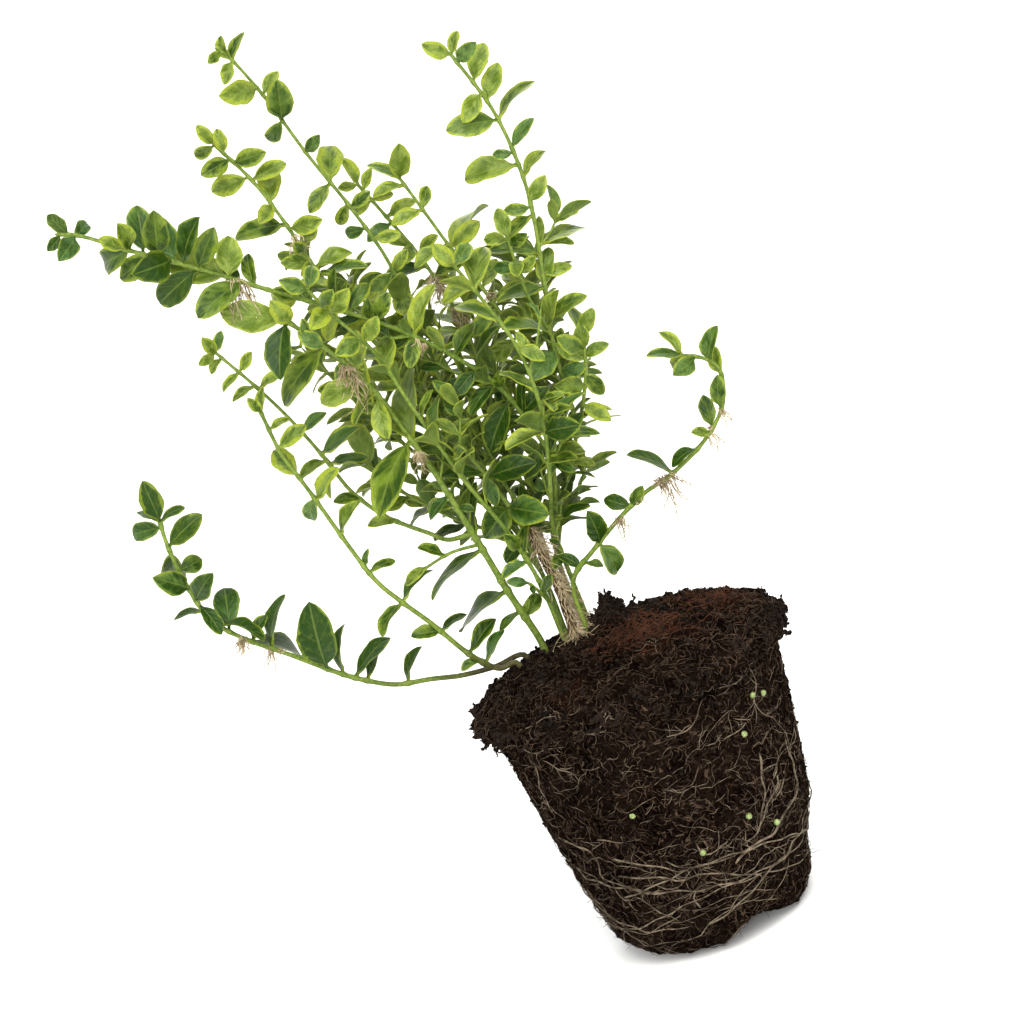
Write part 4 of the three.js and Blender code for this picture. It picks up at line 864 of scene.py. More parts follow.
# %% [markdown]
# Leaves may not run into each other. Every stem and leaf leaves sample points in a grid of small
# cells, and a new leaf is tried in a few attitudes until its own samples keep clear of them.

# %% Clear space
SAMPLE_STEP = 1.6
CLEAR_OF_OTHERS = 3.1
CLEAR_OF_SISTERS = 1.9
OWN_BASE = 4.5
cells = {}


def cell_of(point):
    return tuple(math.floor(value / CLEAR_OF_OTHERS) for value in point)


def keep(samples):
    for sample in samples:
        cells.setdefault(cell_of(sample[0]), []).append(sample)


def is_clear(samples, others=CLEAR_OF_OTHERS, sisters=CLEAR_OF_SISTERS):
    for at, owner, near_base in samples:
        for cell in itertools.product(*((k - 1, k, k + 1) for k in cell_of(at))):
            for place, holder, base in cells.get(cell, ()):
                distance = size_of(minus(at, place))
                if holder != owner:
                    if distance < others:
                        return False
                elif not near_base and not base and distance < sisters:
                    return False
    return True


def line_samples(points, owner):
    samples = []
    for start, end in zip(points, points[1:]):
        run = minus(end, start)
        count = math.ceil(size_of(run) / SAMPLE_STEP)
        samples += [(plus(start, times(run, k / count)), owner, True) for k in range(count)]
    return samples


for plan in plants:
    for line in plan["lines"]:
        keep(line_samples(line["points"], plan["name"]))
print("cells in use:", len(cells))

# %% Blades
BLADE_ASPECT = 0.48
BOW = 0.07
SMALLER = 0.72
LEAST_HIDDEN = 0.22
DEPTH_TRIES = (0.35, -0.35, 0.65, -0.65, 0.95, -0.95)


def on_blade(blade, along, across, lift):
    face = cross(blade["side"], blade["axis"])
    bow = BOW * blade["length"] * 4 * along * (1 - along)
    spine = plus(blade["base"], times(blade["axis"], blade["length"] * along))
    return plus(plus(spine, times(blade["side"], across)), times(face, bow + lift))


def blade_samples(blade, owner):
    samples = []
    rows = math.ceil(blade["length"] / SAMPLE_STEP)
    for row in range(1, rows + 1):
        along = row / rows
        half = 0.5 * blade["width"] * math.sin(math.pi * along ** 0.9) ** 0.75
        columns = max(1, math.ceil(half / SAMPLE_STEP))
        for column in range(-columns, columns + 1):
            at = on_blade(blade, along, half * column / columns, 0)
            samples.append((at, owner, blade["length"] * along < OWN_BASE))
    return samples


def flat_distance(point, target):
    sight = unit(minus(target, EYE))
    arm = minus(point, EYE)
    return size_of(minus(arm, times(sight, dot(arm, sight))))


def nearest_on(line, target):
    best = (math.inf, None, None)
    for row, start in enumerate(line["points"][:-1]):
        run = minus(line["points"][row + 1], start)
        for k in range(8):
            point = plus(start, times(run, k / 8))
            distance = flat_distance(point, target)
            if distance < best[0]:
                best = (distance, point, row)
    return best[1], best[2]


def turned_side(axis, sight, length, width):
    true_width = max(BLADE_ASPECT * length, width)
    shown = min(1.0, width / true_width)
    across = unit(cross(axis, sight))
    deep = unit(cross(axis, across))
    roll = math.sqrt(1 - shown * shown)
    sides = []
    for lean in (roll, -roll):
        side = unit(plus(times(across, shown), times(deep, lean)))
        sides.append(times(side, -1) if dot(cross(side, axis), sight) > 0 else side)
    heights = [cross(side, axis)[2] for side in sides]
    return (sides[0] if heights[0] >= heights[1] else sides[1]), true_width


def seen_blades(line, leaf, number):
    base_across, base_up, tip_across, tip_up, width = leaf
    base, row = nearest_on(line, seen(base_across, base_up, line["points"][-1][1]))
    tip = seen(tip_across, tip_up, base[1])
    flat = size_of(minus(tip, base))
    hidden = max(4 * width * width - flat * flat, (LEAST_HIDDEN * flat) ** 2)
    turned = math.sqrt(hidden) * (-1 if number % 2 == 0 else 1)
    sight = unit(minus(tip, EYE))
    choices = []
    for offset in (0, -2 * turned / flat, *DEPTH_TRIES):
        end = plus(tip, times(sight, turned + offset * flat))
        length = size_of(minus(end, base))
        axis = unit(minus(end, base))
        side, true_width = turned_side(axis, sight, length, width)
        choices.append({"base": base, "axis": axis, "side": side, "length": length,
                        "width": true_width, "row": row, "read": True})
    return choices


# %% Leaves by rule
PAIR_SPACING = 14.5
RULE_LEAF_LENGTH = 18.5
RULE_TRIES = ([(swing, 1) for swing in (0, 0.4, -0.4, 0.8, -0.8)]
              + [(swing, 0.75) for swing in (0, 0.5, -0.5, 1.2, -1.2)])
draw_state = 20713


def draw(low, high):
    global draw_state
    draw_state = draw_state * 16807 % 2147483647
    return low + (high - low) * (draw_state / 2147483647)


def leaf_places(line, lowest, highest, spacing=PAIR_SPACING):
    places = []
    travelled = draw(0, 6)
    quarter = math.pi / 4
    for row, start in enumerate(line["points"][:-1]):
        run = minus(line["points"][row + 1], start)
        length = size_of(run)
        while travelled < length:
            point = plus(start, times(run, travelled / length))
            if lowest < dot(point, UPWARD) < highest:
                places.append((point, row, quarter))
            quarter += math.pi / 2
            travelled += spacing * draw(0.85, 1.15)
        travelled -= length
    return places


def rule_blades(line, place, half, leaf_length=RULE_LEAF_LENGTH, aspect=BLADE_ASPECT,
                tilt=0.0):
    point, row, quarter = place
    tangent, normal, binormal = line["frames"][row]
    length = leaf_length * draw(0.78, 1.15)
    spread = draw(0.75, 1.15)
    sway = draw(-0.45, 0.45)
    choices = []
    for swing, size in RULE_TRIES:
        turn = quarter + half + swing
        axis = unit(between(tangent, between(normal, binormal, turn), spread))
        level = unit((axis[1], -axis[0], 0))
        side = turned_about(level, axis, sway)
        if tilt:
            sides = [turned_about(level, axis, lean) for lean in (tilt + sway, -tilt - sway)]
            side = max(sides, key=lambda way: dot(cross(way, axis), (point[0], point[1], 0)))
        choices.append({"base": point, "axis": axis, "side": side, "length": length * size,
                        "width": length * size * aspect, "row": row, "read": False})
    return choices


def settle(plan, line, choices, others=CLEAR_OF_OTHERS, sisters=CLEAR_OF_SISTERS):
    smaller = [dict(blade, length=SMALLER * blade["length"], width=SMALLER * blade["width"])
               for blade in choices]
    for blade in choices + smaller:
        samples = blade_samples(blade, plan["name"])
        if is_clear(samples, others, sisters):
            keep(samples)
            blade["line"] = line
            plan["blades"].append(blade)
            return True
    return False


for plan in plants:
    for line in plan["lines"]:
        for number, leaf in enumerate(line["leaves"]):
            settle(plan, line, seen_blades(line, leaf, number))
for plan in plants:
    if "fill" in plan:
        line = plan["lines"][0]
        for place in leaf_places(line, *plan["fill"]):
            pair = [rule_blades(line, place, half) for half in (0, math.pi)]
            for choices in pair:
                settle(plan, line, choices)
print("leaves as in the solids:", sum(len(plan["blades"]) for plan in plants))

# %% [markdown]
# Aerial rootlets grow in tufts from a stem. The solids have each as one spike, placed by the next
# draws of the same sequence, so those draws are made here, before anything new is drawn.

# %% Where rootlets spring
def rootlet_spikes(line, tuft):
    across, up, count, reach = tuft
    point, row = nearest_on(line, seen(across, up, line["points"][-1][1]))
    tangent = line["frames"][row][0]
    spikes = []
    for _ in range(count):
        way = (draw(-1, 1), draw(-1, 1), draw(-1, 0.5))
        out = unit(cross(way, tangent))
        out = (out[0], -abs(out[1]), out[2])
        length = reach * draw(0.7, 1.2)
        start = plus(point, times(tangent, draw(-3, 3)))
        end = plus(plus(start, times(out, 0.85 * length)), (0, 0, -0.4 * length))
        spikes.append((start, end))
    return spikes


spikes_of = {}
for plan in [old_stem] + shoots:
    for line in plan["lines"]:
        for tuft in line["tufts"]:
            spikes_of.setdefault(plan["name"], []).extend(rootlet_spikes(line, tuft))
print("rootlet bundles:", sum(len(spikes) for spikes in spikes_of.values()))

# %% [markdown]
# A leaf made by rule must not stand in front of a leaf that was read from the photograph. A map
# of the viewer's picture keeps the depth of every read leaf, and rule leaves are tried on it. The
# few that would hide most of what lies behind them are taken away again.

# %% Map of the read leaves
MAP_CELL = 1.2
MOSTLY_HIDES = 0.45
MAY_HIDE = 0.16
read_map = {}


def picture_place(point):
    arm = minus(point, EYE)
    depth = dot(arm, AWAY)
    scale = EYE_DISTANCE / depth / MAP_CELL
    return (round(dot(arm, RIGHT) * scale), round(dot(arm, UPWARD) * scale)), depth


def pictured(blade):
    return [picture_place(at) for at, owner, near_base in blade_samples(blade, "")]


def map_blade(blade):
    for cell, depth in pictured(blade):
        read_map[cell] = max(depth, read_map.get(cell, 0.0))


def hiding_share(blade):
    places = pictured(blade)
    return sum(depth < read_map.get(cell, 0.0) for cell, depth in places) / len(places)


for plan in shoots:
    for blade in plan["blades"]:
        if blade["read"]:
            map_blade(blade)
for plan in shoots:
    away = [blade for blade in plan["blades"]
            if not blade["read"] and hiding_share(blade) > MOSTLY_HIDES]
    for blade in away:
        plan["blades"].remove(blade)
        for sample in blade_samples(blade, plan["name"]):
            cells[cell_of(sample[0])].remove(sample)
print("leaves left in the look:", sum(len(plan["blades"]) for plan in plants))

# %% [markdown]
# The heart of the plant shows more leaves than the solids could hold. These were read from the
# photograph in the same way. Each grows from the stem that passes nearest to its base, and of two
# stems about as near, from the one in front.

# %% Leaves in front of the heart
FRONT_CLEAR, FRONT_SISTERS = 1.6, 0.9
LONGEST_STALK = 7.0
FRONT_FIRST = 0.2
heart_leaves = [
    [-30, 250, -46, 247, 5], [-10.5, 244, -27, 249, 5.5], [-31.5, 270, -29.5, 259, 8.5],
    [-10, 244, -10.6, 257, 9], [-51, 272, -49, 286.5, 3.3], [-49, 270, -46, 280, 2.6],
    [-19.3, 284, -23, 278, 5.5], [18.6, 232, 3, 241.5, 4.1], [9.5, 232, 14.2, 224, 5.2],
    [14.4, 216.4, 11.2, 225.2, 9.6], [14.8, 216.3, 27.6, 215.6, 5.9], [-12.2, 231.3, 4, 243, 2.2],
    [37.6, 237, 32, 241.6, 4.8], [30.8, 222, 31.6, 232, 6.3], [-9.8, 241.4, -0.2, 245.6, 4.8],
    [14.3, 264.4, 16.2, 258, 5.5], [-55.4, 238.5, -51.7, 250, 3.7], [-15, 228.7, -31, 220, 3.3],
    [-54.2, 233.4, -54, 217.6, 7], [-56.6, 235.6, -63.8, 227.3, 2.9],
    [-62.3, 225, -77, 221, 6.6], [-56.8, 223, -65.2, 220.7, 3.7], [-51, 214.4, -53.2, 223.5, 2.9],
    [-51, 195.4, -63.8, 192, 4.4], [-76, 214.3, -82.7, 204.3, 2.9], [0.7, 198.7, 17, 196.2, 9.2],
    [0.5, 199.2, -13, 197.4, 4.1], [3.2, 188, 15.5, 185, 4.4], [10.7, 181.8, 17.2, 179.2, 3.3],
    [8.6, 178.6, 15.3, 174.4, 1.5], [-23, 189.5, -24.4, 178.2, 5.5],
    [-13.7, 219.5, -20.8, 214.4, 5.5], [-8, 219, -4.7, 226.2, 4.8],
    [-17, 194.7, -5.7, 205.6, 2.2], [-49.3, 286, -58.3, 283.5, 7.7],
    [-52.5, 271.6, -61.6, 261.2, 5.1], [-65, 279, -75.5, 283.2, 7.9],
    [-54.3, 290, -61.3, 288.7, 6.1], [-55.3, 296.3, -59.2, 301, 5.1],
    [-67, 295, -68, 304.4, 6.5], [-63.3, 268.4, -67.6, 272.6, 4.2],
    [-65.4, 259.2, -70.8, 268.3, 6.1], [-65.6, 240.7, -72, 244.8, 5.6],
    [-62.5, 278, -61.4, 287.2, 5.6], [-59, 275.3, -53, 279, 5.6],
    [-88, 297, -107, 315, 12.5], [-103, 313, -107, 331, 9],
    [-14.4, 165.5, -2.3, 159.7, 6.4], [-11.4, 167, -1.6, 165, 1.9],
    [-8.5, 153.6, -12.8, 147.8, 4.5], [-6.3, 154.8, -9.8, 158.9, 2.9],
    [-24.3, 155, -15.3, 168, 4], [-25, 154.2, -32.4, 151.7, 3.8],
    [-25.8, 158.3, -25, 166.6, 5.7], [-36, 175.3, -28.3, 192.6, 3.8],
    [-22.2, 193.6, -39.7, 196.4, 6.1], [-27.4, 134.2, -25.2, 140, 2.2],
    [-30.6, 137.6, -40.8, 133.3, 2.6], [-21.5, 145.7, -23, 141.4, 2.2],
    [-18.8, 146.6, -18.5, 140.3, 2.9], [-41.5, 262.4, -56.3, 256.5, 7],
    [-41, 262.6, -33.7, 266.8, 4.4], [-49.8, 286.6, -36.4, 283, 4.1],
    [-42.5, 275, -32.5, 278.2, 5.5], [-43, 265.4, -41, 270.5, 4.4],
    [-48.8, 270, -41.5, 276.6, 2.2], [-57, 228.3, -54.8, 216.8, 2.9]]


def stem_behind(across, up):
    best = (math.inf, None, None)
    for plan in shoots:
        for line in plan["lines"]:
            point, row = nearest_on(line, seen(across, up, line["points"][-1][1]))
            far = flat_distance(point, seen(across, up, point[1]))
            cost = far + FRONT_FIRST * point[1]
            if far < LONGEST_STALK and cost < best[0]:
                best = (cost, plan, line)
    return best[1], best[2]


added = []
for leaf in heart_leaves:
    plan, line = stem_behind(*leaf[:2])
    if plan and settle(plan, line, seen_blades(line, leaf, 0), FRONT_CLEAR, FRONT_SISTERS):
        added.append(plan["blades"][-1])
for blade in added:
    map_blade(blade)
print("leaves added in front of the heart:", len(added))

# %% [markdown]
# A solid's blades have to be few, so the heart of the plant is thinner there than in the
# photograph. Here it gets its smaller growth: short side sprigs, each with a few narrow leaves,
# set by the same kind of rule between the leaves that are already placed.

# %% Side sprigs
SPRIG_SPACING = 18
SPRIG_CLEAR, SPRIG_SISTERS = 1.7, 1.0
SPRIG_LEAF = 14.5
SPRIG_ASPECT = 0.37
SPRIG_TILT = 0.6
SPRIGS_BEHIND = 0.75
SPRIG_THICK = [0.7, 0.5]
SPRIG_REACH = (9, 24)
SPRIG_LIFT = 0.16
SPRIG_PAIRS = 7.5
BOTH_SIDES = (0, math.pi)


def sprig_line(line, place, half):
    point, row, quarter = place
    tangent, normal, binormal = line["frames"][row]
    turn = quarter + half + 0.7
    out = between(normal, binormal, turn)
    if out[1] < 0 and draw(0, 1) < SPRIGS_BEHIND:
        out = times(out, -1)
    reach = draw(*SPRIG_REACH)
    spread = draw(0.5, 0.85)
    axis = unit(between(tangent, out, spread))
    middle = plus(point, times(axis, 0.5 * reach))
    end = plus(plus(middle, times(axis, 0.5 * reach)), (0, 0, SPRIG_LIFT * reach))
    points = [point, middle, end]
    coarse = evenly(points, chord_table(points), 3)
    return {"points": coarse, "frames": frames_along(coarse), "fine": fine_line(points),
            "thick": SPRIG_THICK, "tufts": [], "bases": []}


def sprig_pair(sprig, place):
    return [rule_blades(sprig, place, half, SPRIG_LEAF, SPRIG_ASPECT, SPRIG_TILT)
            for half in BOTH_SIDES]


sprig_leaves = 0
for plan in plants:
    if "sprigs" in plan:
        main = plan["lines"][0]
        for place in leaf_places(main, *plan["sprigs"], SPRIG_SPACING):
            sprig = sprig_line(main, place, 0 if draw(0, 1) < 0.5 else math.pi)
            tries = []
            for point in leaf_places(sprig, -math.inf, math.inf, SPRIG_PAIRS):
                tries += sprig_pair(sprig, point)
            last = len(sprig["points"]) - 1
            tries += sprig_pair(sprig, (sprig["points"][last], last - 1, draw(0, math.pi)))
            tries = [[blade for blade in choices if hiding_share(blade) <= MAY_HIDE]
                     for choices in tries]
            grown = sum(settle(plan, sprig, choices, SPRIG_CLEAR, SPRIG_SISTERS)
                        for choices in tries)
            if grown > 1:
                plan["lines"].append(sprig)
                sprig_leaves += grown
            else:
                plan["blades"] = [blade for blade in plan["blades"]
                                  if blade["line"] is not sprig]
print("leaves on side sprigs:", sprig_leaves)

# %% [markdown]
# Every leaf is a copy of one of two small sheets: a grid of faces given a thickness by one
# extrusion, with the edge kept sharp. The copies are then shaped one by one. A short stalk opens
# into an elliptic blade with a pointed tip; the halves fold up a little from the midrib; the edge
# waves and the tip nods. A grid of few columns is enough at this size, and it keeps the count low.

# %% Leaf sheets
BIG_ROWS = [0, 0.05, 0.10, 0.14, 0.19, 0.26, 0.34, 0.43, 0.52, 0.61, 0.70, 0.78, 0.85, 0.91,
            0.96, 1]
SMALL_ROWS = [0, 0.07, 0.13, 0.20, 0.30, 0.42, 0.54, 0.66, 0.77, 0.87, 0.95, 1]
BIG_LEAF = 15.0


def leaf_sheet(name, rows, columns):
    bm = bmesh.new()
    bmesh.ops.create_grid(bm, x_segments=columns, y_segments=len(rows) - 1, size=0.5)
    for vert in bm.verts:
        row = round((vert.co.y + 0.5) * (len(rows) - 1))
        vert.co = (2 * vert.co.x, rows[row], 0)
    leaf_map = bm.loops.layers.uv.new("leaf_map")
    under = bm.faces.layers.float.new("leaf_under")
    for item in bmesh.ops.extrude_face_region(bm, geom=list(bm.faces))["geom"]:
        if isinstance(item, bmesh.types.BMVert):
            item.co.z = 1
    bmesh.ops.recalc_face_normals(bm, faces=bm.faces[:])
    for face in bm.faces:
        heights = {round(vert.co.z) for vert in face.verts}
        face[under] = 1.0 if heights == {0} else 0.0
        for loop in face.loops:
            loop[leaf_map].uv = (0.5 * loop.vert.co.x + 0.5, loop.vert.co.y)
    for edge in bm.edges:
        kinds = [{round(vert.co.z) for vert in face.verts} for face in edge.link_faces]
        edge.smooth = not (len(kinds) == 2 and kinds[0] != kinds[1])
    mesh = mesh_from(bm, name, smooth=True)
    print(name, "vertices:", len(mesh.vertices), "faces:", len(mesh.polygons))
    return mesh


big_sheet = leaf_sheet("big_leaf_sheet", BIG_ROWS, 6)
small_sheet = leaf_sheet("small_leaf_sheet", SMALL_ROWS, 4)

# %% [markdown]
# No two leaves are alike. A leaf draws its habit once: how far its halves fold up, how the tip
# nods, how the edge waves, how wide its base and its tip are, and how it twists and sweeps.

# %% Leaf habits
habit_draw = random.Random(411)
HABITS = {"fold": (6, 26), "nod": (0.0, 0.07), "wave": (0.1, 0.35), "phase": (0, 2 * math.pi),
          "wedge": (0.50, 0.72), "point": (0.52, 0.78), "fullness": (0.90, 1.04),
          "twist": (-0.25, 0.25), "sweep": (-0.035, 0.035), "ragged": (0.02, 0.05)}
STALK = 0.11
NOTCH = 0.022
READ_HALF, RULE_HALF = 0.51, 0.48
THINNEST = 0.10


def habit_of(blade):
    habit = {name: habit_draw.uniform(*span) for name, span in HABITS.items()}
    big = blade["length"] > BIG_LEAF
    habit["fold"] = math.radians(habit["fold"])
    habit["wave"] *= 1.5 if big else 0.8
    habit["thick"] = 0.42 if big else 0.34
    habit["stalk"] = 0.36 + 0.012 * blade["length"]
    habit["half"] = (READ_HALF if blade["read"] else RULE_HALF) * blade["width"]
    return habit


def leaf_point(blade, habit, across, along, layer):
    share = max(0.0, (along - STALK) / (1 - STALK))
    skewed = share ** habit["fullness"]
    taper = habit["wedge"] + (habit["point"] - habit["wedge"]) * share
    half = habit["half"] * max(0.0, 4 * skewed * (1 - skewed)) ** taper
    half *= 1 + habit["ragged"] * math.sin(13 * share + 5 * habit["phase"] + 2 * across)
    half *= 1 + NOTCH * math.sin(97 * along + 3 * habit["phase"] + across)
    half = max(half, habit["stalk"] * (1 - share) ** 6, THINNEST)
    x = across * half
    flat = min(1.0, share * 5)
    lift = abs(x) * math.tan(habit["fold"]) * flat
    ripple = math.sin(9 * share + habit["phase"] + (2.1 if across < 0 else 0))
    lift += habit["wave"] * across * across * flat * ripple
    lift -= habit["nod"] * blade["length"] * share ** 3
    thick = habit["thick"] + (2 * habit["stalk"] - habit["thick"]) * (1 - flat)
    thick *= 1 - 0.55 * abs(across) * flat
    lift += (layer - 0.5) * thick
    angle = habit["twist"] * share
    side = x * math.cos(angle) + habit["sweep"] * blade["length"] * share * share
    return on_blade(blade, along, side, lift + x * math.sin(angle))


# %% [markdown]
# Stems, rootlets and root fibres are all tubes of changing thickness. A curve with a round bevel
# makes them: each point has its own radius, and the finished curve is turned into a mesh.

# %% Tubes from curves
def tube_mesh(name, strands, roundness, finishes):
    curve = bpy.data.curves.new(name, "CURVE")
    curve.dimensions = "3D"
    curve.bevel_depth = MM
    curve.bevel_resolution = roundness
    curve.use_fill_caps = True
    for finish in finishes:
        curve.materials.append(finish)
    for points, radii, finish in strands:
        spline = curve.splines.new("POLY")
        spline.points.add(len(points) - 1)
        flat = [value for p, radius in zip(points, radii)
                for value in (p[0] * MM, p[1] * MM, max(p[2], radius) * MM, 1.0)]
        spline.points.foreach_set("co", flat)
        spline.points.foreach_set("radius", radii)
        spline.material_index = finish
        spline.use_smooth = True
    holder = put_in_scene(name, curve)
    bpy.context.view_layer.update()
    evaluated = holder.evaluated_get(bpy.context.evaluated_depsgraph_get())
    mesh = bpy.data.meshes.new_from_object(evaluated)
    bpy.data.objects.remove(holder)
    bpy.data.curves.remove(curve)
    return mesh


def place_piece(name, mesh, finishes, slot, *nodes):
    mesh.name = name
    if not mesh.materials:
        for finish in finishes:
            mesh.materials.append(finish)
    piece = put_in_scene(name, mesh)
    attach(piece, "root")
    if nodes:
        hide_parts(*nodes)
    print(name, "triangles:", sum(len(face.vertices) - 2 for face in mesh.polygons))


def tube_piece(name, strands, roundness, finish, slot, *nodes):
    place_piece(name, tube_mesh(name, strands, roundness, [finish]), [finish], slot, *nodes)


# %% [markdown]
# A stem is thickest at its foot and swells a little where a leaf stands on it.

# %% Stems
SLENDER = 0.90
TAPER_POWER = 0.75
NODE_SWELL = 0.38
NODE_LENGTH = 1.3


def nearest_fine(line, target):
    return min(line["fine"], key=lambda point: size_of(minus(point, target)))


def stem_strand(line):
    first, last = line["thick"]
    count = len(line["fine"]) - 1
    radii = []
    for row, point in enumerate(line["fine"]):
        radius = SLENDER * (first + (last - first) * (row / count) ** TAPER_POWER)
        gap = min((size_of(minus(point, base)) for base in line["bases"]), default=99)
        swell = NODE_SWELL * math.exp(-(gap / NODE_LENGTH) ** 2)
        tip = min(1.0, 0.45 + 0.3 * (count - row))
        radii.append(radius * (1 + swell) * tip)
    return line["fine"], radii, 1


# %% [markdown]
# Real rootlets hang, curl and fork. Each spike becomes a small bundle of bent threads.

# %% Rootlet threads
ROOTLET_THREADS = 14
BUNDLE_SPREAD = 0.70
BUNDLE_SAG = 0.6
thread_draw = random.Random(97)


def thread(start, end, radius, wander, droop, finish, steps=7):
    run = minus(end, start)
    length = size_of(run)
    lean = [thread_draw.uniform(-1, 1) for _ in range(3)]
    curl = unit(cross(run, lean))
    other = unit(cross(run, curl))
    turn, pitch = thread_draw.uniform(0, 6.28), thread_draw.uniform(2, 5)
    points, radii = [], []
    for step in range(steps + 1):
        share = step / steps
        sway = wander * length * share
        at = plus(start, times(run, share))
        at = plus(at, times(curl, sway * math.sin(turn + pitch * share)))
        at = plus(at, times(other, 0.7 * sway * math.cos(turn + 1.3 * pitch * share)))
        at = plus(at, (0, 0, -droop * length * share * share))
        points.append(at)
        radii.append(radius * (1 - 0.45 * share))
    return points, radii, finish


def bundle(spike, count, finish):
    start, end = spike
    spread = BUNDLE_SPREAD * size_of(minus(end, start))
    threads = []
    for _ in range(count):
        shift = tuple(thread_draw.uniform(-spread, spread) for _ in range(3))
        shift = plus(shift, (0, 0, -BUNDLE_SAG * spread))
        root = plus(start, times(shift, 0.18))
        tip = plus(plus(start, times(minus(end, start), thread_draw.uniform(0.35, 0.9))),
                   times(shift, 0.75))
        threads.append(thread(root, tip, thread_draw.uniform(0.14, 0.28), 0.24, 0.14, finish))
    return threads


print("threads to a rootlet spike:", ROOTLET_THREADS)

# %% [markdown]
# A leafy piece is one mesh: its leaves first, then its stems, then its rootlets, each with their
# own finish. A leaf also gets its three numbers: a seed for the margin's noise, how golden it is
# and how pale. Leaves near a tip and high up are young and golden, and the lower ones are darker:
# partly their own deeper green, and partly painted shade for leaves that sit deep in the bush.

# %% Leafy pieces
USUAL_TONE = (0.06, 0.10)
LEAFY_FINISHES = [leaf_material, stem_green, rootlet_straw]
GOLD_FLOOR, GOLD_TOP = 135.0, 345.0
MAIN_STEM = 0.75
JOINT_REACH = 0.25
OPEN_AIR_FROM, OPEN_AIR_RANGE = 0.12, 0.30
YOUNG_FROM = 0.6
NOTED_WITHIN = 2.9
LEAF_WORDS = {"pale": (0.10, 0.95), "deep": (0.14, 0.08), "green": (0.10, 0.42),
              "golden": (0.80, 0.80)}
noted_leaves = {
    "pale": [[-98, 306], [-84, 281], [-104, 321], [-87, 308], [3, 277], [2, 234], [26, 257],
             [15, 221], [22, 217], [-41, 227]],
    "deep": [[-97, 286], [-79, 265], [-113, 313], [-107, 301], [9, 197], [-12, 188]],
    "green": [[-77, 252], [-113, 329], [-93, 316], [-70, 311], [-25, 274], [19, 270],
              [-60, 202], [-31, 195], [-13, 171]],
    "golden": [[-135, 330], [-123, 328], [-67, 301], [-71, 280], [-54, 284], [-59, 268],
               [-29, 282], [-8, 259], [-22, 259], [-49, 260], [-19, 246], [-62, 239],
               [-54, 244], [-13, 211], [-30, 185], [24, 196], [-79, 209]]}
noted_cells = [(picture_place(seen(across, up, 0))[0], LEAF_WORDS[word])
               for word, places in noted_leaves.items() for across, up in places]


def noted_tone(blade):
    cell = picture_place(on_blade(blade, 0.55, 0, 0))[0]
    return next((tone for at, tone in noted_cells if math.dist(at, cell) < NOTED_WITHIN), None)


def leaf_numbers(plan, blade):
    row_share = blade["row"] / max(1, len(blade["line"]["points"]) - 1)
    height = clamp((dot(blade["base"], UPWARD) - GOLD_FLOOR) / (GOLD_TOP - GOLD_FLOOR))
    young = clamp((row_share - YOUNG_FROM) / (1 - YOUNG_FROM))
    more_gold, more_pale = plan.get("tone", USUAL_TONE)
    open_air = clamp((height - OPEN_AIR_FROM) / OPEN_AIR_RANGE)
    gold = 0.04 + 0.28 * open_air + 0.26 * young + more_gold
    gold += habit_draw.gauss(0.0, 0.20 - 0.05 * open_air)
    # painted shade: the paleness number rises with height through open_air, so lower leaves deep
    # in the bush are painted darker, on top of their own random tone and the shoot's tone
    paleness_and_painted_shade = 0.18 + 0.48 * open_air + more_pale
    paleness_and_painted_shade += habit_draw.gauss(0.02, 0.26 - 0.12 * open_air)
    gold, paleness_and_painted_shade = noted_tone(blade) or (gold, paleness_and_painted_shade)
    return habit_draw.random(), clamp(gold), clamp(paleness_and_painted_shade)


def add_leaves(bm, plan):
    counts = []
    for blade in plan["blades"]:
        sheet = big_sheet if blade["length"] > BIG_LEAF else small_sheet
        bm.from_mesh(sheet)
        counts.append(len(sheet.vertices))
    layers = [bm.verts.layers.float.new("leaf_" + name) for name in ("seed", "gold", "paleness_and_painted_shade")]
    bm.verts.ensure_lookup_table()
    first = 0
    for blade, count in zip(plan["blades"], counts):
        habit = habit_of(blade)
        numbers = leaf_numbers(plan, blade)
        joint = nearest_fine(blade["line"], blade["base"])
        blade["line"]["bases"].append(joint)
        shift = minus(joint, blade["base"])
        for vert in bm.verts[first:first + count]:
            across, along, layer = vert.co
            point = leaf_point(blade, habit, across, along, layer)
            point = plus(point, times(shift, max(0.0, 1 - along / JOINT_REACH)))
            vert.co = times(point, MM)
            for name, value in zip(layers, numbers):
                vert[name] = value
        first += count


def add_tubes(bm, strands, roundness, finishes):
    if strands:
        mesh = tube_mesh("tubes", strands, roundness, finishes)
        while mesh.uv_layers:
            mesh.uv_layers.remove(mesh.uv_layers[0])
        bm.from_mesh(mesh)
        bpy.data.meshes.remove(mesh)


def leafy_piece(plan):
    name = "leafy_" + plan["name"].removeprefix("shoot_")
    bm = bmesh.new()
    add_leaves(bm, plan)
    main = [stem_strand(line) for line in plan["lines"] if line["thick"][0] > MAIN_STEM]
    thin = [stem_strand(line) for line in plan["lines"] if line["thick"][0] <= MAIN_STEM]
    add_tubes(bm, main, 2, LEAFY_FINISHES)
    add_tubes(bm, thin, 1, LEAFY_FINISHES)
    threads = []
    for spike in spikes_of.get(plan["name"], []):
        threads += bundle(spike, ROOTLET_THREADS, 2)
    add_tubes(bm, threads, 0, LEAFY_FINISHES)
    place_piece(name, mesh_from(bm, name), LEAFY_FINISHES, "leaf", plan["name"])


for plan in shoots:
    leafy_piece(plan)

# %% [markdown]
# The old stem is brown and woody. Its bark shows only in places, because straw-coloured rootlets
# cover it like a shag and spread where it meets the soil. The trunk is a tube whose surface is
# pushed in and out by noise, and the shag is some hundreds of curled threads.

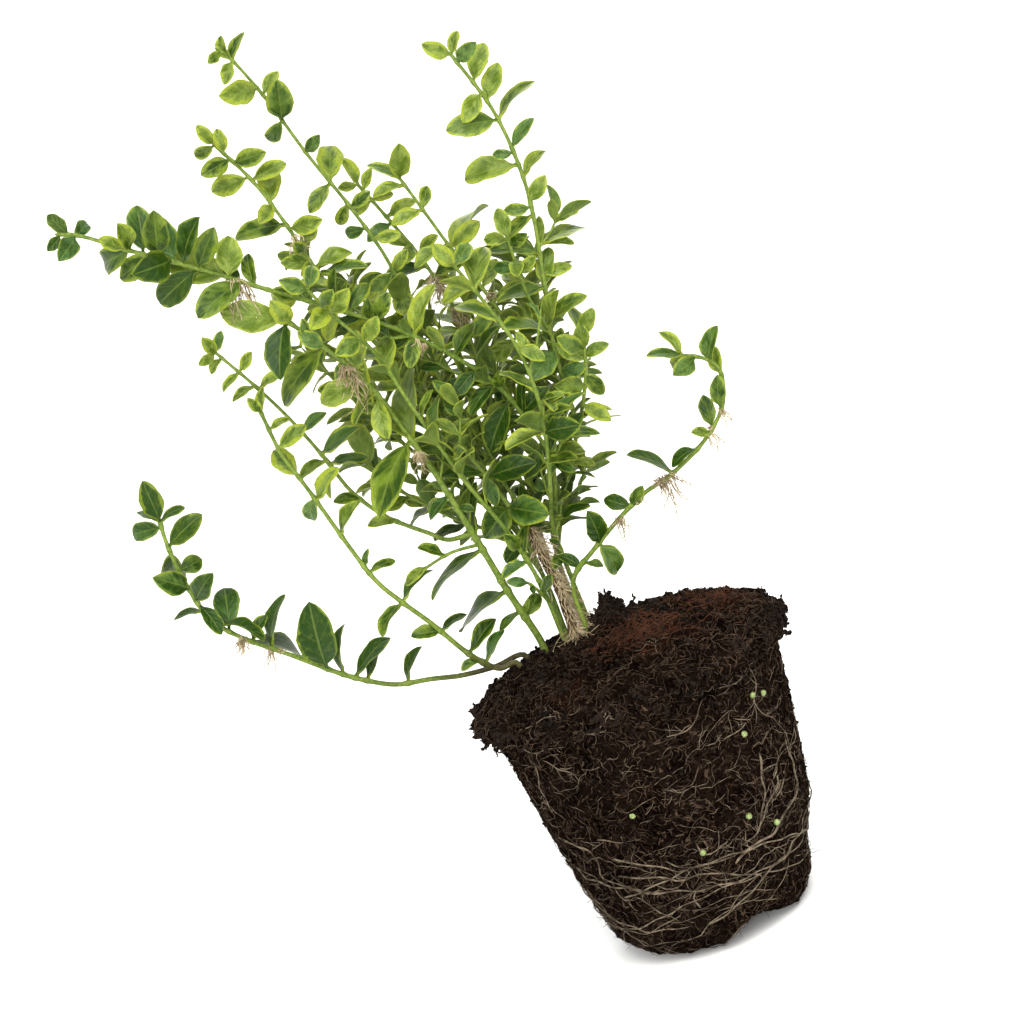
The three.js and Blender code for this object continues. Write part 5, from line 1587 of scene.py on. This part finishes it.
# %% Old stem
TRUNK_FOOT, TRUNK_TOP = 2.3, 1.5
BARK_RIDGE, BARK_KNOT = 0.42, 0.35
SHAG_THREADS = 330
SPREAD_THREADS = 46
TRUNK_FINISHES = [old_bark, rootlet_straw]

shag_draw = random.Random(55)


def shag_thread(trunk):
    row = shag_draw.randrange(int(0.25 * len(trunk)), len(trunk))
    turn = shag_draw.gauss(-0.25, 0.85)
    out = around(turn, 1)
    start = plus(trunk[row], times(out, shag_draw.uniform(0.9, 1.7)))
    length = shag_draw.uniform(3, 10)
    drop = (shag_draw.uniform(-0.25, 0.5), shag_draw.uniform(-0.3, 0.2), -1.0)
    end = plus(plus(start, times(unit(drop), length)), times(out, shag_draw.uniform(0.4, 4.6)))
    return thread(start, end, shag_draw.uniform(0.10, 0.20), 0.30, 0.0, 1)


def spreading_thread(foot):
    turn = shag_draw.uniform(-2.9, 0.3)
    reach = shag_draw.uniform(4, 15)
    start = plus(foot, (0, 0, shag_draw.uniform(1, 7)))
    x, y, z = plus(foot, around(turn, reach))
    end = (x, y, soil_height(x, y) + shag_draw.uniform(-0.5, 1.2))
    return thread(start, end, shag_draw.uniform(0.12, 0.24), 0.14, -0.1, 1)


trunk = old_stem["lines"][0]["fine"]
trunk_radii = [TRUNK_FOOT + (TRUNK_TOP - TRUNK_FOOT) * row / (len(trunk) - 1)
               for row in range(len(trunk))]
bm = bmesh.new()
add_tubes(bm, [(trunk, trunk_radii, 0)], 6, TRUNK_FINISHES)
for _ in range(2):
    bmesh.ops.subdivide_edges(bm, edges=bm.edges[:], cuts=1, use_grid_fill=True)
for vert in bm.verts:
    place = vert.co / MM
    axis_point = Vector(nearest_fine(old_stem["lines"][0], tuple(place)))
    ridge = noise.noise(Vector((place.x * 0.9, place.y * 0.9, place.z * 0.22)))
    knot = noise.noise(Vector((place.x * 0.3, place.y * 0.3, place.z * 0.3 + 9)))
    vert.co += (place - axis_point).normalized() * (BARK_RIDGE * ridge + BARK_KNOT * knot) * MM
soil_foot = (old_stem["hole"][0], old_stem["hole"][1], soil_height(*old_stem["hole"]))
shag = [shag_thread(trunk) for _ in range(SHAG_THREADS)]
shag += [spreading_thread(soil_foot) for _ in range(SPREAD_THREADS)]
for spike in spikes_of["old_stem"]:
    shag += bundle(spike, 5, 1)
add_tubes(bm, shag, 0, TRUNK_FINISHES)
place_piece("shaggy_old_stem", mesh_from(bm, "shaggy_old_stem"), TRUNK_FINISHES, "bark",
            "old_stem")

# %% [markdown]
# The ball is peat with a rough, crumbly skin. A sphere's rings are carried on to the same form as
# the solid, so it is closed at the foot and the crown. Then every vertex is moved along its
# normal by noise: broad lumps, small clods, and pits where a clod has dropped out. The foot stays
# flat, so that the ball still stands.

# %% Ball skin
BALL_TURNS = 300
BALL_RINGS = 210
LIP_RELIEF = 2.1
LIP_DEPTH, LIP_INNER = 9, 48
CROWN_RELIEF = 1.7
FOOT_FADE = 3.0
LUMP_SIZE, CLOD_SIZE, PIT_SIZE = 9.0, 3.0, 4.2
LUMP_HEIGHT, CLOD_HEIGHT, PIT_DEPTH = 0.55, 0.75, 0.9

row_lengths = [0.0]
for row in range(1, len(ball_profile)):
    row_lengths.append(row_lengths[-1] + size_of(minus(ball_point(0.0, row),
                                                       ball_point(0.0, row - 1))))
skin_length = row_lengths[-1]


def skin_base(turn, run):
    run = clamp(run, 0.0, skin_length)
    row = 0
    while row < len(row_lengths) - 2 and row_lengths[row + 1] <= run:
        row += 1
    inside = (run - row_lengths[row]) / (row_lengths[row + 1] - row_lengths[row])
    low, high = ball_point(turn, row), ball_point(turn, row + 1)
    return plus(low, times(minus(high, low), inside))


def skin_normal(turn, run):
    run = clamp(run, 1.0, skin_length - 1.0)
    sideways = minus(skin_base(turn + 0.02, run), skin_base(turn - 0.02, run))
    upwards = minus(skin_base(turn, run + 1.0), skin_base(turn, run - 1.0))
    return unit(cross(sideways, upwards))


def relief(point):
    at = Vector(point)
    lumps = noise.fractal(at / LUMP_SIZE, 1.0, 2.0, 3)
    clods = noise.fractal(at / CLOD_SIZE + Vector((7, 1, 3)), 0.8, 2.1, 3)
    cell = noise.voronoi(at / PIT_SIZE)[0]
    pits = clamp(1.0 - 3.2 * (cell[1] - cell[0])) * clamp(0.5 + lumps)
    strength = 1.0
    if point[2] > LIP_HEIGHT - LIP_DEPTH:
        lip = clamp((math.hypot(point[0], point[1]) - LIP_INNER) / 8)
        strength += (LIP_RELIEF - 1) * lip + (CROWN_RELIEF - 1) * (1 - lip)
    amount = strength * (LUMP_HEIGHT * lumps + CLOD_HEIGHT * clods) - PIT_DEPTH * pits
    return amount * clamp(point[2] / FOOT_FADE)


def skin_point(turn, run, proud=0.0):
    base = skin_base(turn, run)
    return plus(base, times(skin_normal(turn, run), relief(base) + proud))


bm = bmesh.new()
bmesh.ops.create_uvsphere(bm, u_segments=BALL_TURNS, v_segments=BALL_RINGS, radius=1)
for vert in bm.verts:
    share = math.acos(clamp(-vert.co.z, -1.0, 1.0)) / math.pi
    turn = math.atan2(vert.co.y, vert.co.x) if 1e-6 < share < 1 - 1e-6 else 0.0
    point = skin_point(turn, share * skin_length)
    vert.co = (point[0] * MM, point[1] * MM, max(0.0, point[2]) * MM)
ball_mesh = mesh_from(bm, "peat_ball", smooth=True)
print("ball faces:", len(ball_mesh.polygons), "skin length:", round(skin_length, 1), "mm")

# %% [markdown]
# The ball's finish is the grain with the felt drawn over it. On the crown reddish coir lies in
# three spots, each a full middle that fades outwards, broken up by a noise.

# %% Peat finish
COIR_SPOTS = (((0.010, -0.028, 0.112), 0.010, 0.022), ((0.041, -0.004, 0.113), 0.007, 0.018),
              ((-0.022, -0.040, 0.108), 0.003, 0.014))
PEAT_DARK, PEAT_LIGHT = (0.0010, 0.0006, 0.0005), (0.0085, 0.0050, 0.0034)
FELT_DARK, FELT_LIGHT = opaque(0.024, 0.015, 0.010), opaque(0.077, 0.051, 0.033)
COIR_DARK, COIR_LIGHT = opaque(0.026, 0.0100, 0.0048), opaque(0.095, 0.037, 0.0175)
COIR_GROUND = opaque(0.012, 0.0044, 0.0022)


def build_peat_material():
    made, net, shader = new_material("peat_skin", 0.95, 0.0)
    where = net.place()
    grain = net.grain(where, PEAT_DARK, PEAT_LIGHT, 800, 110)
    felt = net.add("Group", {"Vector": where}, node_tree=felt_group)["Mask"]
    coir = None
    for place, full, none in COIR_SPOTS:
        spot = net.ramp(net.vector("DISTANCE", where, place)["Value"], none, full)
        coir = net.math("MAXIMUM", coir, spot) if coir else spot
    coir = net.times(coir, net.ramp(net.noise(where, 90, 3.0), 0.36, 0.60))
    ground = net.blend(coir, grain["Color"], COIR_GROUND)
    felt_tone = net.blend(net.noise(where, 130, 1.0), FELT_DARK, FELT_LIGHT)
    coir_tone = net.blend(net.noise(where, 210, 1.0), COIR_DARK, COIR_LIGHT)
    colour = net.blend(felt, ground, net.blend(coir, felt_tone, coir_tone))
    height = net.times_plus(felt, 0.45, grain["Height"])
    net.feed(shader, {"Base Color": colour, "Normal": net.bump(height, 0.0011, 0.9)})
    return made


place_piece("peat_ball", ball_mesh, [build_peat_material()], "peat", "root_ball")

# %% [markdown]
# Loose crumbs make the soil's outline ragged, most of all on the lip, on the crown and on the
# small dark mound beside the stems. A crumb is a sphere of 20 faces, squeezed and dented, and
# sunk half into the skin. There are thousands, so 20 faces is all that each may have.

# %% Crumbs
CRUMBS = 3000
ON_MOUND, ON_CROWN, ON_LIP = 0.07, 0.42, 0.62
MOUND_SCATTER = 4.5
CROWN_FRONT_BARE = 0.7
CLUMPING = 0.6
CRUMB_STRETCH = (0.7, 1.4), (0.7, 1.4), (0.5, 1.1)
crumb_draw = random.Random(2024)


def run_at_height(z):
    for row in range(2, len(ball_profile) - 1):
        low, high = ball_profile[row][1], ball_profile[row + 1][1]
        if low <= z <= high and high > low:
            share = (z - low) / (high - low)
            return row_lengths[row] + share * (row_lengths[row + 1] - row_lengths[row])
    return skin_length


def crown_point(x, y, proud):
    return skin_point(math.atan2(y, x), skin_length - math.hypot(x, y), proud)


def crumb_place(last):
    kind = crumb_draw.random()
    turn = crumb_draw.uniform(-math.pi, math.pi)
    if last[2] and crumb_draw.random() < CLUMPING:
        radius = last[1] * crumb_draw.uniform(0.6, 0.95)
        way = unit(plus(last[2], tuple(crumb_draw.gauss(0, 0.75) for _ in range(3))))
        return plus(last[0], times(way, 0.7 * (radius + last[1]))), radius, last[2]
    if kind < ON_MOUND:
        x, y = (crumb_draw.gauss(middle, MOUND_SCATTER) for middle in (MOUND_X, MOUND_Y))
        radius = crumb_draw.uniform(0.6, 1.5)
        return crown_point(x, y, 0.3 * radius), radius, (0, 0, 1)
    if kind < ON_CROWN:
        x, y, z = around(turn, 60 * math.sqrt(crumb_draw.random()))
        if y < -12 and x > -22 and crumb_draw.random() < CROWN_FRONT_BARE:
            x, y = -0.6 * x, -0.6 * y
        radius = crumb_draw.uniform(0.35, 1.5)
        return crown_point(x, y, 0.2 * radius), radius, None
    if kind < ON_LIP:
        run = run_at_height(LIP_HEIGHT) + crumb_draw.gauss(0, 4.0)
        radius = crumb_draw.uniform(0.5, 1.5)
        return skin_point(turn, run, 0.2 * radius), radius, skin_normal(turn, run)
    run = run_at_height(crumb_draw.uniform(3, 98))
    radius = crumb_draw.uniform(0.3, 0.9)
    return skin_point(turn, run, 0.1 * radius), radius, None


bm = bmesh.new()
bmesh.ops.create_icosphere(bm, subdivisions=1, radius=1)
pebble = mesh_from(bm, "crumb_shape")
bm = bmesh.new()
for _ in range(CRUMBS):
    bm.from_mesh(pebble)
bm.verts.ensure_lookup_table()
per_crumb = len(pebble.vertices)
centre, radius, way = (0, 0, 0), 1.0, None
for number in range(CRUMBS):
    centre, radius, way = crumb_place((centre, radius, way))
    stretch = Vector([crumb_draw.uniform(*span) for span in CRUMB_STRETCH])
    spin = Matrix.Rotation(crumb_draw.uniform(0, 6.28), 3, "Z")
    spin = spin @ Matrix.Rotation(crumb_draw.uniform(0, 6.28), 3, "X")
    for vert in bm.verts[number * per_crumb:(number + 1) * per_crumb]:
        dented = vert.co * (radius * crumb_draw.uniform(0.7, 1.2))
        place = Vector(centre) + spin @ (dented * stretch)
        place.z = max(place.z, 0.0)
        vert.co = place * MM
place_piece("peat_crumbs", mesh_from(bm, "peat_crumbs"), [crumb_peat], "peat")

# %% [markdown]
# The peat is full of fibres: short dark and brown ones all over, and finer straw roots among
# them. Each fibre takes a walk on the skin: it starts somewhere, heads in some direction, turns a
# little at each step, and rises and sinks so that only parts of it show.

# %% Fibres
FIBRE_CURL = 0.55
FIBRE_STEP = 2.4
ANY_WAY = 9.0
LOOSE_ON_LIP, LOOSE_ON_WALL = 150, 170
THIN_END = 0.6
FOOT_MARGIN, CROWN_MARGIN = 1.5, 6
fibre_draw = random.Random(808)


def walk(turn, run, heading, length, curl, steps, proud, radius, finish):
    points, radii = [], []
    step_length = length / steps
    phase = fibre_draw.uniform(0, 6.28)
    for step in range(steps + 1):
        share = step / steps
        height = proud * (0.35 + 0.65 * math.sin(math.pi * share))
        height += 0.3 * math.sin(phase + 5 * share)
        points.append(skin_point(turn, run, height))
        radii.append(radius * (1 - 0.45 * share) * (THIN_END if step in (0, steps) else 1.0))
        around = max(6.0, math.hypot(points[-1][0], points[-1][1]))
        turn += step_length * math.cos(heading) / around
        run += step_length * math.sin(heading)
        inside = clamp(run, row_lengths[2] + FOOT_MARGIN, skin_length - CROWN_MARGIN)
        if run != inside:
            heading, run = -heading, inside
        heading += fibre_draw.gauss(0, curl)
    return points, radii, finish


def fibre(low_run, high_run, lengths, thickness, finish):
    turn = fibre_draw.uniform(-math.pi, math.pi)
    run = fibre_draw.uniform(low_run, high_run)
    heading = fibre_draw.gauss(0, ANY_WAY) + (math.pi if fibre_draw.random() < 0.5 else 0)
    length = fibre_draw.uniform(*lengths)
    steps = max(3, round(length / FIBRE_STEP))
    radius = fibre_draw.uniform(*thickness)
    return walk(turn, run, heading, length, FIBRE_CURL, steps, fibre_draw.uniform(0.1, 0.7),
                radius, finish)


def loose_strand(run):
    turn = fibre_draw.uniform(-math.pi, math.pi)
    start = skin_point(turn, run, -0.4)
    out = skin_normal(turn, run)
    lean = tuple(fibre_draw.gauss(0, 0.6) for _ in range(3))
    length = fibre_draw.uniform(1.5, 5.5)
    end = plus(start, times(unit(plus(out, lean)), length))
    end = (end[0], end[1], max(end[2], 0.5))
    return thread(start, end, fibre_draw.uniform(0.09, 0.16), 0.3, 0.1,
                  fibre_draw.choice((0, 1)), 4)


wall_low, wall_high = run_at_height(4), run_at_height(100)
lip_run, crown_run = run_at_height(104), skin_length - 8
# how many, between which runs of the skin, how long, how thick, and which finish, if only one
FIBRE_KINDS = [(900, wall_low, wall_high, (2.5, 7), (0.10, 0.20), 0),
               (1500, wall_low, wall_high, (3, 9), (0.09, 0.17), 1),
               (800, lip_run, crown_run, (3, 10), (0.09, 0.18), None),
               (900, run_at_height(99), lip_run + 22, (3, 9), (0.09, 0.17), 1)]
fibres = []
for count, low_run, high_run, lengths, thickness, only in FIBRE_KINDS:
    for _ in range(count):
        finish = fibre_draw.choice((0, 1)) if only is None else only
        fibres.append(fibre(low_run, high_run, lengths, thickness, finish))
fibres += [loose_strand(run_at_height(LIP_HEIGHT) + fibre_draw.gauss(0, 5))
           for _ in range(LOOSE_ON_LIP)]
fibres += [loose_strand(fibre_draw.uniform(wall_low, wall_high)) for _ in range(LOOSE_ON_WALL)]
FIBRE_FINISHES = [dark_fibre, brown_fibre]
place_piece("peat_fibres", tube_mesh("peat_fibres", fibres, 0, FIBRE_FINISHES), FIBRE_FINISHES,
            "peat")

# %% [markdown]
# Coir lies in two heaps on the front of the crown, as curled reddish strands.

# %% Coir on the front of the crown
COIR_STRANDS = 470
NEARER_HEAP = 0.62
coir = []
for _ in range(COIR_STRANDS):
    if fibre_draw.random() < NEARER_HEAP:
        across, back = fibre_draw.gauss(10, 11), fibre_draw.gauss(-28, 8)
    else:
        across, back = fibre_draw.gauss(40, 7), fibre_draw.gauss(-4, 10)
    turn = math.atan2(back, across)
    reach = min(math.hypot(across, back), 60.0)
    run = crown_run - max(0.0, reach - 8)
    coir.append(walk(turn, run, fibre_draw.gauss(0, 1.0), fibre_draw.uniform(4, 14), 0.45, 6,
                     fibre_draw.uniform(0.0, 1.8), fibre_draw.uniform(0.09, 0.20), 0))
tube_piece("coir_fibres", coir, 0, red_coir, "peat")

# %% [markdown]
# Pale roots circle the lower wall where the pot once turned them. The thick ones in front were
# read from the photograph as routes, across and up. Each reading is a line of sight, and the root
# lies where that line meets the ball. The others follow the solids' five circling strands, or
# take long walks that keep nearly level.

# %% Root routes
read_roots = [
    (0.60, [[35, 52.5], [32.5, 44.1], [30.7, 36.2], [26.7, 30.2], [22.9, 24.1], [17.8, 23.2]]),
    (0.50, [[-0.6, 29.5], [0.1, 26.4], [3, 24.1], [7.4, 24.5], [11.5, 25.3]]),
    (0.70, [[11, 16.9], [15.4, 19.4], [18.2, 20.7], [23.6, 21], [28.2, 22], [35.7, 27.6],
            [42, 32.7], [45, 39.1], [45.7, 48.3], [46.4, 53.7]]),
    (0.45, [[-31.7, 35.1], [-26.2, 32], [-21, 28.4], [-14.9, 24.7], [-8.7, 21.1],
            [-1.2, 20.8], [4.4, 20.5], [12.4, 19.2]]),
    (0.40, [[-14.5, 26.9], [-9.5, 23.7], [-3.4, 20.2], [1.7, 18.6]]),
    (0.50, [[-32.4, 28.3], [-24.3, 24.8], [-16.3, 21.1], [-9.8, 18.3], [-3.5, 17.4],
            [3.6, 16], [10.5, 11.9], [18, 9.4], [19, 5.7]]),
    (0.38, [[-48.5, 91.2], [-46.5, 86.6], [-47.2, 80.2], [-47.3, 72.6], [-47.1, 65.9],
            [-47.1, 61.1]]),
    (0.48, [[-47, 49.2], [-42.7, 45.6], [-39.4, 42], [-38.1, 35.7], [-38, 31], [-35.9, 26.8],
            [-29.8, 23], [-24.7, 19.1], [-19.1, 16.4]]),
    (0.40, [[-48.1, 41.6], [-46.1, 37], [-42.2, 32.6], [-39.8, 28.8]]),
    (0.36, [[-46.2, 29.5], [-43.8, 23.7], [-41.1, 16], [-39.1, 11.4]]),
    (0.38, [[-20.4, 20.2], [-16.1, 16.7], [-10.2, 17.2], [-5, 20.8]]),
    (0.36, [[-27.6, 16.4], [-24, 11.2], [-20, 6.8], [-17.7, 3]]),
    (0.55, [[39.2, 46.2], [37.7, 40.1], [32.7, 34.5], [29.3, 32], [23.8, 25.2]]),
    (0.45, [[17.7, 20.4], [15.3, 24.2]]),
    (0.50, [[33.3, 45.6], [39.1, 47.1], [36.4, 41.5]]),
    (0.50, [[41.5, 42.4], [37.3, 36.5], [32, 32.8]]),
    (0.36, [[-43.2, 80.5], [-38.4, 75.8], [-35, 72.5], [-32.7, 68.8]]),
    (0.34, [[-34.7, 44.4], [-30.7, 42.5], [-25.9, 40]]),
    (0.45, [[-1.4, 51.7], [1.1, 49.6], [3.7, 50.2], [6.8, 50.8]]),
    (0.34, [[-30.5, 71.7], [-26.3, 70.5], [-21.2, 71.4]]),
    (0.36, [[-35.9, 26.8], [-34.2, 19], [-29.8, 18.2], [-26, 15.8]]),
    (0.45, [[-7.2, 5.5], [-9.2, 10.1], [-5.1, 13.3], [-0.5, 12.9], [4.7, 9.4]]),
    (0.36, [[-45.1, 95.1], [-39.3, 95.2], [-32.9, 94.8], [-29.5, 93.7]]),
    (0.36, [[-23.7, 84.3], [-18.6, 85.2], [-12.9, 87.7], [-11.1, 89.3]]),
    (0.36, [[4, 71.5], [9.2, 71.4], [15.4, 72.7], [22.7, 80.3]]),
    (0.36, [[30.2, 81.2], [34.1, 81.5], [39.2, 82.4], [42.1, 85]]),
    (0.34, [[43.8, 84.4], [42.7, 77.2], [39.8, 70.7], [43.1, 65.6], [46.4, 59.6],
            [47.6, 50.6]]),
    (0.34, [[24.7, 62.4], [30.1, 64.1], [35.5, 65.8]]),
    (0.34, [[16.9, 100.6], [20.5, 102.5], [22.3, 102.3]]),
    (0.32, [[-46.7, 88.6], [-46.2, 85.1], [-39.9, 84.1], [-33.8, 82.6]]),
    (0.32, [[17.1, 62.6], [21.1, 62.9], [24.8, 65.2]])]
circling_roots = [(0, 360, 22, 22, 4.5, 3), (-160, 30, 44, 30, -12, 0.5),
                  (-100, 20, 14, 42, 0, 1), (-135, 148, 32, 25, 7, 1.5), (150, 250, 38, 16, 4, 1)]
root_draw = random.Random(31)
BRANCHLETS = 2
SLIMMER = 0.72
CIRCLING_THICK, CIRCLING_PROUD = 0.34, 0.7
LOWEST_ROOT = 3.2
ROOT_STEP = 2.0
CIRCLING_DEGREES = 8


def meet_ball(across, up):
    point = (across, -45.0, up)
    for _ in range(6):
        turn = math.atan2(point[1], point[0])
        radius = wall_radius(turn, point[2])
        depth = -math.sqrt(max(radius * radius - point[0] ** 2, 16.0))
        point = seen(across, up, depth)
    return math.atan2(point[1], point[0]), point[2]


def lay_root(places, thickness, finish, proud=0.5):
    points = [skin_point(turn, run_at_height(max(LOWEST_ROOT, z)), proud) for turn, z in places]
    table = chord_table(points)
    steps = max(3, round(table[-1] / ROOT_STEP))
    smooth = evenly(points, table, steps)
    phase = root_draw.uniform(0, 6.28)
    wobbly = [plus(point, (0.35 * math.sin(phase + 1.1 * row), 0, 0.4 * math.sin(2 + 0.8 * row)))
              for row, point in enumerate(smooth)]
    radii = [thickness * (1 - 0.35 * row / steps) * (1 + 0.15 * math.sin(3.1 * row + phase))
             for row in range(steps + 1)]
    radii[0] *= 0.5
    radii[-1] *= 0.4
    return wobbly, radii, finish


roots = []
for thickness, route in read_roots:
    places = [meet_ball(across, up) for across, up in route]
    roots.append(lay_root(places, SLIMMER * thickness, 0))
    for turn, z in places[1:]:
        for _ in range(BRANCHLETS):
            roots.append(walk(turn + root_draw.gauss(0, 0.03), run_at_height(max(LOWEST_ROOT, z)),
                              root_draw.uniform(0, 6.28), root_draw.uniform(3, 9), 0.4, 4,
                              0.5, root_draw.uniform(0.09, 0.20), 0))
for start, end, low, high, sway, waves in circling_roots:
    count = math.ceil(abs(end - start) / CIRCLING_DEGREES)
    places = []
    for step in range(count + 1):
        share = step / count
        z = low + (high - low) * share + sway * math.sin(2 * math.pi * waves * share)
        places.append((math.radians(start + (end - start) * share), z))
    roots.append(lay_root(places, CIRCLING_THICK, 0, CIRCLING_PROUD))


def wandering_root(low_z, high_z, lengths, thickness, curl):
    turn = root_draw.uniform(-math.pi, math.pi)
    run = run_at_height(root_draw.uniform(low_z, high_z))
    length = root_draw.uniform(*lengths)
    heading = root_draw.gauss(0, 0.35) + (math.pi if root_draw.random() < 0.5 else 0)
    return walk(turn, run, heading, length, curl, max(6, round(length / 3.0)),
                root_draw.uniform(0.3, 0.9), root_draw.uniform(*thickness), 0)


# how many, between which heights, how long, how thick and how curled
for count, *habit in ((36, 5, 30, (14, 60), (0.11, 0.24), 0.22),
                      (80, 25, 98, (7, 24), (0.09, 0.16), 0.36),
                      (420, 15, 100, (3, 10), (0.08, 0.14), 0.45)):
    roots += [wandering_root(*habit) for _ in range(count)]
tube_piece("pale_roots", roots, 1, pale_root, "pale_root", "circling_roots")

# %% [markdown]
# Slow-release feed shows as a few greenish beads of resin in the peat. Each is a small smooth
# sphere in the socket of its solid, so its place is the middle of that solid's box.

# %% Feed beads
BEAD_RADIUS = 1.2
BEADS = 7

for number in range(1, BEADS + 1):
    node = "feed_bead_" + str(number)
    low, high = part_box(node)
    centre = [0.5 * (a + b) for a, b in zip(low, high)]
    bm = bmesh.new()
    bmesh.ops.create_icosphere(bm, subdivisions=3, radius=BEAD_RADIUS * MM)
    bmesh.ops.translate(bm, verts=bm.verts[:], vec=centre)
    name = "resin_bead_" + str(number)
    place_piece(name, mesh_from(bm, name, smooth=True), [feed_resin], "feed", node)

# %% [markdown]
# Helper meshes that only served as shapes to copy are removed.

# %% Helper meshes
for helper in (big_sheet, small_sheet, pebble):
    bpy.data.meshes.remove(helper)
